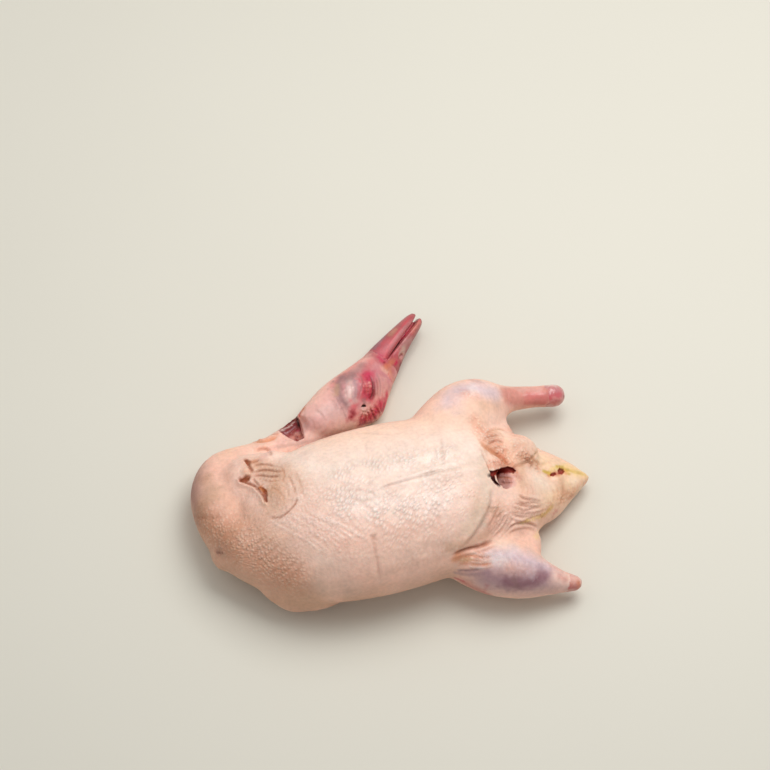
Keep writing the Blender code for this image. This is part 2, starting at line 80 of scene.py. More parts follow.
class Tone(Enum):
    """Colours of this bird, named by where they are met, as the eye reads them in eight bits a channel. A few
    stand for light and shade instead: the near white of wet glints is a painted highlight, and the browns and
    oranges laid in folds are painted shade.
    """

    CREAM = (246, 222, 203)
    BREAST = (244, 224, 211)
    PINK = (246, 198, 178)
    PEACH = (248, 202, 172)
    BEIGE = (216, 172, 142)
    BROWN_BEIGE = (196, 152, 122)
    FLANK = (222, 184, 160)
    # MAUVE is also laid as painted shade: in grooves, between follicles and where two parts meet
    MAUVE = (178, 142, 130)
    LAVENDER = (216, 194, 202)
    PURPLE_GREY = (166, 130, 138)
    SHANK = (208, 136, 124)
    SHANK_RED = (186, 92, 88)
    SINEW = (226, 176, 166)
    RAW_RED = (140, 46, 44)
    DEEP_RED = (104, 14, 12)
    MAROON = (142, 32, 16)
    ALMOST_BLACK = (30, 8, 8)
    FAT_PINK = (226, 160, 148)
    TORN_ORANGE = (212, 128, 92)
    # laid in folds, creases and hollows, these three are painted shade; FOLD_ORANGE also gives a real
    # orange-tan patch on the near leg, and CREASE_BROWN the skin's real brown specks
    FOLD_ORANGE = (222, 140, 92)
    CREASE_BROWN = (158, 86, 50)
    WRINKLE_BROWN = (206, 144, 108)
    TAIL_CREAM = (246, 212, 176)
    TAIL_YELLOW = (240, 206, 136)
    VENT_GREEN = (204, 168, 60)
    HEAD_PALE = (216, 186, 178)
    HEAD_PINK = (214, 156, 146)
    BRUISE = (170, 54, 70)
    LID_RED = (190, 80, 92)
    BILL = (174, 98, 98)
    MOUTH = (160, 40, 44)
    GREY_FLESH = (206, 182, 164)
    HEAD_ROSE = (198, 124, 132)
    CRIMSON = (198, 4, 74)
    DEEP_CRIMSON = (132, 2, 30)
    ROSE = (206, 88, 96)
    SALMON = (226, 136, 122)
    BLUE_GREY = (146, 122, 132)
    DARK_MAUVE = (150, 112, 112)
    # painted shade on the slope at the breast's rear edge
    REAR_EDGE_SHADE = (220, 198, 178)
    SALMON_SKIN = (232, 178, 158)
    AMBER = (204, 118, 44)
    DUSK = (190, 160, 166)
    BLUSH = (252, 214, 198)
    BILL_ROSE = (190, 88, 98)
    PALE_FLANK = (228, 198, 182)
    FRONT_MAUVE = (168, 124, 114)
    PLUM = (140, 92, 104)
    NECK_PINK = (214, 164, 162)
    # painted highlight: the near white laid where wet skin catches the light
    PAINTED_GLINT = (252, 242, 236)

    def linear(self) -> tuple[float, float, float]:
        """Turn the colour into the light's own measure, where twice the number is twice the light.

        Returns:
            Its red, green and blue, from 0 to 1.
        """
        shares = [count / 255 for count in self.value]
        return tuple(
            share / 12.92 if share <= 0.04045 else ((share + 0.055) / 1.055) ** 2.4 for share in shares
        )


# ----- the camera


@dataclass
class Sight:
    """The eye that the bird is seen by, and what it makes of a place in the picture.

    The picture is 770 by 770, and its places are counted in those, from the top left corner.

    Attributes:
        azimuth: The eye's turn round the bird, in degrees.
        elevation: How steeply it looks down, in degrees.
        target: The point at the middle of the picture, in millimetres.
        picture: The picture's side.
        breadth: How many millimetres the picture spans at the target.
        lens: The lens, in millimetres.
        sensor: The sensor's side, in millimetres.
        level: The height at which a place beside the bird is taken to lie, in millimetres.
    """

    azimuth: float = -15.38
    elevation: float = 65.0
    target: tuple[float, float, float] = (28.7, 121.5, 50.0)
    picture: float = 770.0
    breadth: float = 708.4
    lens: float = 500.0
    sensor: float = 36.0
    level: float = 25.0
    back: Vector = field(init=False)
    right: Vector = field(init=False)
    up: Vector = field(init=False)
    place: Vector = field(init=False)

    def __post_init__(self) -> None:
        """Work out the eye's axes and where it stands, in millimetres."""
        turn, rise = math.radians(self.azimuth), math.radians(self.elevation)
        self.back = Vector(
            (math.sin(turn) * math.cos(rise), -math.cos(turn) * math.cos(rise), math.sin(rise))
        )
        self.right = Vector((math.cos(turn), math.sin(turn), 0.0))
        self.up = self.back.cross(self.right)
        self.place = Vector(self.target) + self.back * (self.breadth * self.lens / self.sensor)

    def toward(self, across: float, down: float) -> Vector:
        """Give the direction that a place in the picture is seen in.

        Args:
            across: The place's count from the left edge.
            down: The place's count from the top edge.

        Returns:
            A unit vector from the eye.
        """
        spot = Vector(self.target) + self.right * ((across - self.picture / 2) * self.scale())
        spot += self.up * ((self.picture / 2 - down) * self.scale())
        return (spot - self.place).normalized()

    def touch(self, tree: BVHTree, across: float, down: float) -> Vector:
        """Find the point of a surface that shows at a place in the picture.

        Args:
            tree: The surface, in millimetres.
            across: The place's count from the left edge.
            down: The place's count from the top edge.

        Returns:
            The point in millimetres; beside the surface, the point of it that is nearest.
        """
        way = self.toward(across, down)
        found = tree.ray_cast(self.place, way)[0]
        if found is not None:
            return found
        return tree.find_nearest(self.place + way * ((self.level - self.place.z) / way.z))[0]

    def scale(self) -> float:
        """Return how many millimetres one count of the picture is at the bird."""
        return self.breadth / self.picture

    def picture_of(self, points: np.ndarray) -> np.ndarray:
        """Find where points show in the picture.

        Args:
            points: The points in millimetres, one a row.

        Returns:
            Their counts from the left edge and from the top edge, one row a point.
        """
        offset = points - np.array(self.place)
        depth = -(offset @ np.array(self.back))
        scale = self.lens / self.sensor * self.picture / depth
        across = self.picture / 2 + offset @ np.array(self.right) * scale
        down = self.picture / 2 - offset @ np.array(self.up) * scale
        return np.column_stack([across, down])

    def make_camera(self) -> bpy.types.Object:
        """Add the camera and make it the scene's own.

        Returns:
            The camera object.
        """
        data = bpy.data.cameras.new("eye")
        data.lens, data.sensor_width = self.lens, self.sensor
        data.clip_start, data.clip_end = 0.1, 60.0
        camera = bpy.data.objects.new("eye", data)
        camera.location = self.place * MM
        camera.rotation_mode = "QUATERNION"
        camera.rotation_quaternion = (-self.back).to_track_quat("-Z", "Y")
        bpy.context.scene.collection.objects.link(camera)
        bpy.context.scene.camera = camera
        return camera


# ----- measure, noise


def smoothed_path(points: Sequence[Sequence[float]], step: float) -> np.ndarray:
    """Lay a smooth line through points.

    Args:
        points: The points that it passes, in the picture or in space.
        step: About how far apart its own points are, in the same measure.

    Returns:
        The line's points, one a row.
    """
    given = np.array(points, float)
    if len(given) == 1:
        return given
    padded = np.vstack([2 * given[0] - given[1], given, 2 * given[-1] - given[-2]])
    rows = []
    for before, start, end, after in zip(padded, padded[1:], padded[2:], padded[3:]):
        count = max(1, int(np.linalg.norm(end - start) / step))
        for share in np.arange(count) / count:
            rows.append(
                0.5
                * (
                    2 * start
                    + (end - before) * share
                    + (2 * before - 5 * start + 4 * end - after) * share**2
                    + (3 * start - before - 3 * end + after) * share**3
                )
            )
    rows.append(given[-1])
    return np.array(rows)


def ease(share: np.ndarray) -> np.ndarray:
    """Turn a share of the way, held from 0 to 1, into one that starts and ends softly."""
    held = np.clip(share, 0.0, 1.0)
    return held * held * (3 - 2 * held)


def grain(points: np.ndarray, size: float, seed: int, octaves: int = 2) -> np.ndarray:
    """Give smooth noise in space.

    Args:
        points: Where it is wanted, one a row.
        size: How large its largest patches are, in the measure of the points.
        seed: Which noise it is.
        octaves: How many finer layers it has.

    Returns:
        One number a point, about -1 to 1.
    """
    total, weight = np.zeros(len(points)), 0.0
    for octave in range(octaves):
        share = 0.5**octave
        total += share * _lattice_noise(points / size * 2**octave, seed + 17 * octave)
        weight += share
    return total / weight * 1.6


def _lattice_noise(places: np.ndarray, seed: int) -> np.ndarray:
    """Give one layer of value noise on a unit lattice, softly joined.

    The large numbers scatter the lattice's corners and mean nothing else.

    Args:
        places: Where it is wanted, one a row, in cells.
        seed: Which noise it is.

    Returns:
        One number a place, from -1 to 1.
    """
    low = np.floor(places).astype(np.int64)
    part = places - low
    part = part * part * part * (part * (part * 6 - 15) + 10)
    result = np.zeros(len(places))
    for corner in range(8):
        step = np.array([(corner >> axis) & 1 for axis in range(3)])
        cell = low + step
        mixed = cell[:, 0] * 73856093 ^ cell[:, 1] * 19349663 ^ cell[:, 2] * 83492791 ^ (seed * 2654435761)
        mixed = (mixed ^ (mixed >> 13)) * 1274126177 & 0x7FFFFFFF
        mixed = (mixed ^ (mixed >> 15)) & 0xFFFF
        share = np.prod(np.where(step, part, 1 - part), axis=1)
        result += share * (mixed / 32767.5 - 1)
    return result


def nearest(points: np.ndarray, line: np.ndarray) -> tuple[np.ndarray, np.ndarray]:
    """Find how far points lie from a line, and how far along it.

    Args:
        points: The points, one a row.
        line: The line's points, close together.

    Returns:
        The distances, and the index of the line's nearest point for each.
    """
    spread = ((points[:, None, :] - line[None, :, :]) ** 2).sum(axis=2)
    index = spread.argmin(axis=1)
    return np.sqrt(spread[np.arange(len(points)), index]), index


def _inside(spots: np.ndarray, outline: np.ndarray) -> tuple[np.ndarray, np.ndarray]:
    """Tell which spots lie in an outline, and how far each is from it.

    Args:
        spots: The spots, in the picture.
        outline: The outline's corners, in the picture.

    Returns:
        One truth a spot, and its distance in the picture.
    """
    inside = np.zeros(len(spots), bool)
    gap = np.full(len(spots), 1e9)
    for start, end in zip(outline, np.roll(outline, -1, axis=0)):
        way = end - start
        share = np.clip(((spots - start) @ way) / (way @ way), 0, 1)
        gap = np.minimum(gap, np.linalg.norm(spots - start - share[:, None] * way, axis=1))
        crosses = (start[1] > spots[:, 1]) != (end[1] > spots[:, 1])
        level = start[0] + (spots[:, 1] - start[1]) / (way[1] if abs(way[1]) > 1e-9 else 1e-9) * way[0]
        inside ^= crosses & (spots[:, 0] < level)
    return inside, gap


# ----- what is modelled


@dataclass(frozen=True)
class Crease:
    """A groove pressed along a line in the picture, or a ridge where its depth is below nought.

    Attributes:
        line: Places in the picture, or points in millimetres where a place has three numbers.
        width: How broad it is to each side, in millimetres.
        depth: How deep it is, in millimetres.
        lip: How high the lip on its left stands, in millimetres.
        lip_width: How broad the lip is to each side, in millimetres.
        tint: The colour laid in it. The browns and oranges laid in folds, and the mauve and grey along
            grooves of the breast and abdomen, are painted shade; the near white on a raised ripple is a
            painted highlight; the reds, the green and the bruise colours are the skin's own.
        tint_width: How broad the colour is to each side, in millimetres, or 0 for the width.
        strength: How much of the colour is laid.
        fade: Whether it grows shallow towards its ends.
    """

    line: tuple[tuple[float, float], ...]
    width: float
    depth: float
    lip: float = 0.0
    lip_width: float = 2.5
    tint: Tone | None = None
    tint_width: float = 0.0
    strength: float = 0.6
    fade: bool = True


@dataclass(frozen=True)
class Swelling:
    """A rounded rise round a place in the picture, or a hollow where its height is below nought."""

    at: tuple[float, float]
    radius: float
    height: float
    stretch: float = 1.0
    turn: float = 0.0


@dataclass(frozen=True)
class Hollow:
    """A pit whose mouth has an outline in the picture, sunk straight in from there."""

    outline: tuple[tuple[float, float], ...]
    depth: float
    edge: float
    tone: Tone
    strength: float = 0.9


@dataclass(frozen=True)
class Stain:
    """A patch of colour along a line in the picture, or round one place.

    Attributes:
        line: Places in the picture, or points in millimetres where a place has three numbers.
        radius: How far it reaches, in millimetres.
        tone: The colour.
        strength: How much of the colour is laid.
        ragged: How uneven its edge is, as a share of the radius.
        soft: How far in from its edge it grows to its full strength, as a share of the radius.
    """

    line: tuple[tuple[float, float], ...]
    radius: float
    tone: Tone
    strength: float = 0.8
    ragged: float = 0.25
    soft: float = 1.0


@dataclass(frozen=True)
class Cavity:
    """The inside of an opening: an ellipsoid whose wall has one colour.

    Attributes:
        at: Its middle, in millimetres.
        radii: Its radii, in millimetres.
        turn: Its turns about X, Y and Z, in degrees.
        tone: The colour of its wall.
        strength: How much of that colour is laid.
        margin: How far out the colour reaches, as a share of the radii.
    """

    at: tuple[float, float, float]
    radii: tuple[float, float, float]
    turn: tuple[float, float, float]
    tone: Tone
    strength: float = 0.9
    margin: float = 1.1


@dataclass(frozen=True)
class Filling:
    """A rounded mass under the skin that carries it over a hollow between two lengths of flesh."""

    centre: tuple[float, float, float]
    radii: tuple[float, float, float]

    def add(self, joined: bmesh.types.BMesh) -> None:
        """Add the mass to a mesh.

        Args:
            joined: The mesh, in metres.
        """
        size = Matrix.Diagonal((*(Vector(self.radii) * MM), 1.0))
        place = Matrix.Translation(Vector(self.centre) * MM) @ size
        bmesh.ops.create_icosphere(joined, subdivisions=3, radius=1.0, matrix=place)


@dataclass(frozen=True)
class Sleeve:
    """The skin's own hem, which runs a little way over a harder piece and thins out on it.

    Attributes:
        node: The node that it lies on.
        start: Where the node's end is, in millimetres.
        ahead: Which way the hem runs, one unit long.
        length: How far it runs, in millimetres.
        thick: Its thickness where it starts.
        taper: How many times that thickness it loses on its way, so that its end dives into the node.
        rings: The shares of the way at which it is cut; it ends at the last.
    """

    node: str
    start: tuple[float, float, float]
    ahead: tuple[float, float, float]
    length: float
    thick: float = 0.9
    taper: float = 1.5
    rings: tuple[float, ...] = (0.33, 0.66, 1.0)

    def add(self, frame: dict, joined: bmesh.types.BMesh) -> None:
        """Add the hem to a mesh.

        Args:
            frame: The frame, as loaded.
            joined: The mesh, in metres.
        """
        hem = merged_copy(frame, self.node)
        start, ahead = Vector(self.start) * MM, Vector(self.ahead)
        for share in self.rings:
            cut = bmesh.ops.bisect_plane(
                hem,
                geom=hem.verts[:] + hem.edges[:] + hem.faces[:],
                plane_co=start + ahead * self.length * share * MM,
                plane_no=ahead,
                clear_outer=share == self.rings[-1],
            )
        edges = [item for item in cut["geom_cut"] if isinstance(item, bmesh.types.BMEdge)]
        bmesh.ops.holes_fill(hem, edges=edges)
        hem.normal_update()
        for vertex in hem.verts:
            run = (vertex.co - start).dot(ahead) / (self.length * MM)
            vertex.co += vertex.normal * self.thick * (1.0 - self.taper * max(run, 0.0)) * MM
        pour(hem, joined)


@dataclass(frozen=True)
class Zone:
    """A patch round places in the picture where a surface quality holds."""

    line: tuple[tuple[float, float], ...]
    radius: float
    value: float


class Quality(Enum):
    """The qualities that the skin's finish reads from the mesh."""

    WET = "wet"
    PORES = "pores"
    CRINKLE = "crinkle"


# ----- a mesh being modelled


class Clay:
    """One mesh while it is modelled and tinted: its points in millimetres, and what is laid on them.

    Attributes:
        push_back: How much of each relaxing step is taken back, so that the form keeps its size.
        groove_reach: How many of its widths a groove reaches to each side.
        lip_reach: How many of its widths a groove's lip reaches past the groove.
        lip_place: How many of the groove's widths its lip lies from its line.
        fade_rate: How quickly a fading crease deepens from its ends.
        fade_start: How deep it is at its ends already.
        hollow_tint: How much steeper a hollow's colour rises than its depth.
        cavity_edge: How softly a cavity's colour ends, as a share of its radii.
    """

    push_back = 0.94
    groove_reach = 3.2
    lip_reach = 2.5
    lip_place = 1.1
    fade_rate = 4
    fade_start = 0.12
    hollow_tint = 2.6
    cavity_edge = 0.14

    def __init__(self, obj: bpy.types.Object, base: Tone, sight: Sight) -> None:
        """Take up a piece.

        Args:
            obj: The piece, whose mesh is final but for where its points are.
            base: The colour it starts from.
            sight: The eye that places in the picture are seen by.
        """
        self.obj, self.mesh, self.sight = obj, obj.data, sight
        count = len(self.mesh.vertices)
        self.points = np.empty(count * 3, np.float32)
        self.mesh.vertices.foreach_get("co", self.points)
        self.points = self.points.reshape(-1, 3).astype(float) / MM
        ends = np.empty(len(self.mesh.edges) * 2, np.int32)
        self.mesh.edges.foreach_get("vertices", ends)
        self.ends = ends.reshape(-1, 2)
        self.valence = np.maximum(np.bincount(self.ends.ravel(), minlength=count), 1)
        self.tint = np.tile(np.array(base.linear()), (count, 1))
        self.quality = {quality: np.zeros(count) for quality in Quality}
        self.normals = np.zeros((count, 3))
        self.laid: dict[object, tuple[np.ndarray, np.ndarray]] = {}
        self.settle()

    def settle(self) -> None:
        """Write the points to the mesh, and read its normals and its surface again."""
        self.mesh.vertices.foreach_set("co", (self.points * MM).astype(np.float32).ravel())
        self.mesh.update()
        normals = np.empty(len(self.points) * 3, np.float32)
        self.mesh.vertex_normals.foreach_get("vector", normals)
        self.normals = normals.reshape(-1, 3).astype(float)
        faces = [tuple(polygon.vertices) for polygon in self.mesh.polygons]
        self.tree = BVHTree.FromPolygons([tuple(point) for point in self.points], faces)
        self.picture = self.sight.picture_of(self.points)

    def relax(self, rounds: int, share: np.ndarray | float = 1.0, pull: float = 0.5) -> None:
        """Even out the surface.

        Args:
            rounds: How many times each point is drawn to its neighbours, and half as far back.
            share: How much of it each point takes.
            pull: How far a point is drawn each time.
        """
        share = np.broadcast_to(np.asarray(share, float), (len(self.points),))[:, None]
        for _ in range(rounds):
            for step in (pull, -pull * self.push_back):
                mean = np.empty_like(self.points)
                for axis in range(3):
                    values = self.points[:, axis]
                    total = np.bincount(self.ends[:, 0], values[self.ends[:, 1]], len(values))
                    total += np.bincount(self.ends[:, 1], values[self.ends[:, 0]], len(values))
                    mean[:, axis] = total / self.valence
                self.points += (mean - self.points) * step * share

    def cast(self, line: Sequence[Sequence[float]], step: float = 1.2) -> np.ndarray:
        """Lay a line of the picture on the surface.

        Args:
            line: Places in the picture, or points in millimetres where a place has three numbers.
            step: About how far apart the result's points are.

        Returns:
            Points on the surface in millimetres, one a row.
        """
        path = smoothed_path(line, step)
        if path.shape[1] == 3:
            return np.array([self.tree.find_nearest(Vector(row))[0] for row in path])
        return np.array([self.sight.touch(self.tree, across, down) for across, down in path])

    def near(self, line: np.ndarray, reach: float) -> tuple[np.ndarray, np.ndarray, np.ndarray]:
        """Find the points of the mesh near a line.

        Args:
            line: The line's points in millimetres.
            reach: How far from it they may be.

        Returns:
            Their indices, their distances, and the index of the line's point that each is nearest.
        """
        low, high = line.min(axis=0) - reach, line.max(axis=0) + reach
        chosen = np.flatnonzero(((self.points > low) & (self.points < high)).all(axis=1))
        if not len(chosen):
            return chosen, np.zeros(0), np.zeros(0, int)
        distance, index = nearest(self.points[chosen], line)
        close = distance < reach
        return chosen[close], distance[close], index[close]

    def push(self, chosen: np.ndarray, amount: np.ndarray) -> None:
        """Move points along their normals by so many millimetres."""
        self.points[chosen] += self.normals[chosen] * amount[:, None]

    def press(self, crease: Crease) -> None:
        """Model one crease, and work out how its colour will lie.

        Args:
            crease: The crease.
        """
        line = self.cast(crease.line)
        reach = max(crease.width * self.groove_reach, crease.width * 2 + crease.lip_width * self.lip_reach)
        chosen, distance, index = self.near(line, reach)
        if not len(chosen):
            return
        ends = np.ones(len(chosen))
        if crease.fade and len(line) > 2:
            run = index / (len(line) - 1)
            ends = ease(np.minimum(run, 1 - run) * self.fade_rate + self.fade_start)
        groove = -crease.depth * np.exp(-((distance / crease.width) ** 2)) * ends
        if crease.lip:
            ahead = line[np.minimum(index + 1, len(line) - 1)] - line[np.maximum(index - 1, 0)]
            side = np.cross(ahead, self.points[chosen] - line[index])
            leaning = np.sign((side * np.array(self.sight.back)).sum(axis=1))
            across = (distance * leaning - crease.width * self.lip_place) / crease.lip_width
            groove += crease.lip * np.exp(-(across**2)) * ends
        self.push(chosen, groove)
        width = crease.tint_width or crease.width
        self.laid[crease] = (chosen, crease.strength * np.exp(-((distance / width) ** 2)) * ends)

    def draw(self, crease: Crease) -> None:
        """Lay the colour of a crease that was pressed."""
        if crease.tint and crease in self.laid:
            self._lay(*self.laid[crease], crease.tint)

    def sink(self, hollow: Hollow) -> None:
        """Sink one hollow along the way that its own patch faces, and work out how its colour will lie.

        Args:
            hollow: The hollow.
        """
        outline = np.array(hollow.outline)
        centre = self.cast([outline.mean(axis=0)])[0]
        span = np.linalg.norm(outline - outline.mean(axis=0), axis=1).max()
        chosen, _, _ = self.near(centre[None, :], span * 1.5 + 6)
        spots = self.picture[chosen]
        inside, gap = _inside(spots, outline)
        share = ease(np.where(inside, gap, -gap) * self.sight.scale() / hollow.edge)
        share = share * ease(self.normals[chosen] @ np.array(self.sight.back) * 5 + 0.6)
        if not (share > 0).any():
            return
        facing = (self.normals[chosen] * share[:, None]).sum(axis=0)
        facing = facing / np.linalg.norm(facing) + np.array(self.sight.back)
        self.points[chosen] -= np.outer(share * hollow.depth, facing / np.linalg.norm(facing))
        self.laid[hollow] = (chosen, hollow.strength * ease(share * self.hollow_tint))

    def darken(self, hollow: Hollow) -> None:
        """Lay the colour of a hollow that was sunk."""
        if hollow in self.laid:
            self._lay(*self.laid[hollow], hollow.tone)

    def line_cavity(self, cavity: Cavity) -> None:
        """Lay the colour of a cavity's wall on every point that lies in it.

        Args:
            cavity: The cavity.
        """
        turned = Euler([math.radians(angle) for angle in cavity.turn]).to_matrix()
        local = (self.points - np.array(cavity.at)) @ np.array(turned) / np.array(cavity.radii)
        outwards = np.linalg.norm(local, axis=1)
        chosen = np.flatnonzero(outwards < cavity.margin)
        share = ease((cavity.margin - outwards[chosen]) / self.cavity_edge)
        self._lay(chosen, cavity.strength * share, cavity.tone)

    def raise_up(self, swelling: Swelling) -> None:
        """Model one swelling.

        Args:
            swelling: The swelling.
        """
        centre = self.cast([swelling.at])[0]
        longest = swelling.radius * max(swelling.stretch, 1.0)
        chosen, _, _ = self.near(centre[None, :], longest * 1.05)
        if not len(chosen):
            return
        offset = self.points[chosen] - centre
        turn = math.radians(swelling.turn)
        right, up = np.array(self.sight.right), np.array(self.sight.up)
        long_way = right * math.cos(turn) + up * math.sin(turn)
        short = offset - np.outer(offset @ long_way, long_way)
        distance = np.sqrt((offset @ long_way / swelling.stretch) ** 2 + (short**2).sum(axis=1))
        self.push(chosen, swelling.height * ease(1 - distance / swelling.radius))

    def _lay(self, chosen: np.ndarray, share: np.ndarray, tone: Tone) -> None:
        """Mix a tone into the tint of some points by a share for each."""
        share = np.clip(share, 0.0, 1.0)[:, None]
        self.tint[chosen] = self.tint[chosen] * (1 - share) + np.array(tone.linear()) * share

    def stain(self, stain: Stain, seed: int) -> None:
        """Lay one stain, with its edge made uneven by its own noise.

        Args:
            stain: The stain.
            seed: Which noise that is.
        """
        line = self.cast(stain.line, 2.0)
        chosen, distance, _ = self.near(line, stain.radius * (1 + stain.ragged))
        if not len(chosen):
            return
        uneven = grain(self.points[chosen], max(stain.radius * 0.5, 2.5), seed, 3)
        distance = distance * (1 + stain.ragged * uneven)
        self._lay(chosen, stain.strength * ease((1 - distance / stain.radius) / stain.soft), stain.tone)

    def qualify(self, quality: Quality, zone: Zone) -> None:
        """Blend one zone's value into a surface quality.

        Args:
            quality: The quality.
            zone: The zone.
        """
        line = self.cast(zone.line, 4.0)
        chosen, distance, _ = self.near(line, zone.radius)
        share = ease(1 - distance / zone.radius)
        held = self.quality[quality]
        held[chosen] = held[chosen] * (1 - share) + zone.value * share

    def finish(self) -> None:
        """Write the points and all that was laid on them to the mesh."""
        self.settle()
        colour = self.mesh.attributes.new("tint", "FLOAT_COLOR", "POINT")
        rows = np.ones((len(self.points), 4), np.float32)
        rows[:, :3] = np.clip(self.tint, 0.0, 1.0)
        colour.data.foreach_set("color", rows.ravel())
        for quality, values in self.quality.items():
            layer = self.mesh.attributes.new(quality.value, "FLOAT", "POINT")
            layer.data.foreach_set("value", np.clip(values, 0.0, 1.0).astype(np.float32))


# ----- the bird, part by part


INNER_SEED = 50  # where the seeds of a region's inner stains start


@dataclass(frozen=True)
class Region:
    """A part of the bird's surface and all that is modelled and laid on it, in that order."""

    hollows: tuple[Hollow, ...] = ()
    swellings: tuple[Swelling, ...] = ()
    creases: tuple[Crease, ...] = ()
    stains: tuple[Stain, ...] = ()
    cavities: tuple[Cavity, ...] = ()
    inner: tuple[Stain, ...] = ()
    wet: tuple[Zone, ...] = ()
    pores: tuple[Zone, ...] = ()
    crinkle: tuple[Zone, ...] = ()

    def shape(self, clay: Clay) -> None:
        """Model the region's hollows and swellings.

        Args:
            clay: The surface.
        """
        for hollow in self.hollows:
            clay.sink(hollow)
        for swelling in self.swellings:
            clay.raise_up(swelling)

    def line(self, clay: Clay) -> None:
        """Press the region's creases."""
        for crease in self.creases:
            clay.press(crease)

    def tint(self, clay: Clay, seed: int) -> None:
        """Lay the region's stains and the colours of its hollows, cavities and creases.

        Args:
            clay: The surface.
            seed: Where the seeds of its stains start.
        """
        for index, stain in enumerate(self.stains):
            clay.stain(stain, seed + index)
        for hollow in self.hollows:
            clay.darken(hollow)
        for cavity in self.cavities:
            clay.line_cavity(cavity)
        for index, stain in enumerate(self.inner):
            clay.stain(stain, seed + INNER_SEED + index)
        for crease in self.creases:
            clay.draw(crease)

    def qualify(self, clay: Clay) -> None:
        """Lay the region's wetness, follicles and crinkles.

        Args:
            clay: The surface.
        """
        laid = ((Quality.WET, self.wet), (Quality.PORES, self.pores), (Quality.CRINKLE, self.crinkle))
        for quality, zones in laid:
            for zone in zones:
                clay.qualify(quality, zone)


def ripples(
    first: tuple[tuple[float, float], ...],
    last: tuple[tuple[float, float], ...],
    count: int,
    crease: Crease,
    uneven: float = 1.3,
) -> tuple[Crease, ...]:
    """Repeat a crease from one line to another, no two of them quite alike.

    The rates of the sines are odd ones, so that no two lines stray together.

    Args:
        first: The first line, in the picture.
        last: The last line, with as many points.
        count: How many lines there are.
        crease: What each is like but for its line.
        uneven: How far a point strays, in the picture.

    Returns:
        The creases.
    """
    made = []
    for index in range(count):
        share = index / max(count - 1, 1)
        line = tuple(
            (
                a[0] + (b[0] - a[0]) * share + uneven * math.sin(index * 5.3 + turn * 2.1 + a[0]),
                a[1] + (b[1] - a[1]) * share + uneven * 0.6 * math.sin(index * 3.7 + turn * 1.3 + a[1]),
            )
            for turn, (a, b) in enumerate(zip(first, last))
        )
        force = 0.75 + 0.5 * math.sin(index * 2.9 + first[0][0]) ** 2
        made.append(replace(crease, line=line, depth=crease.depth * force, strength=crease.strength * force))
    return tuple(made)


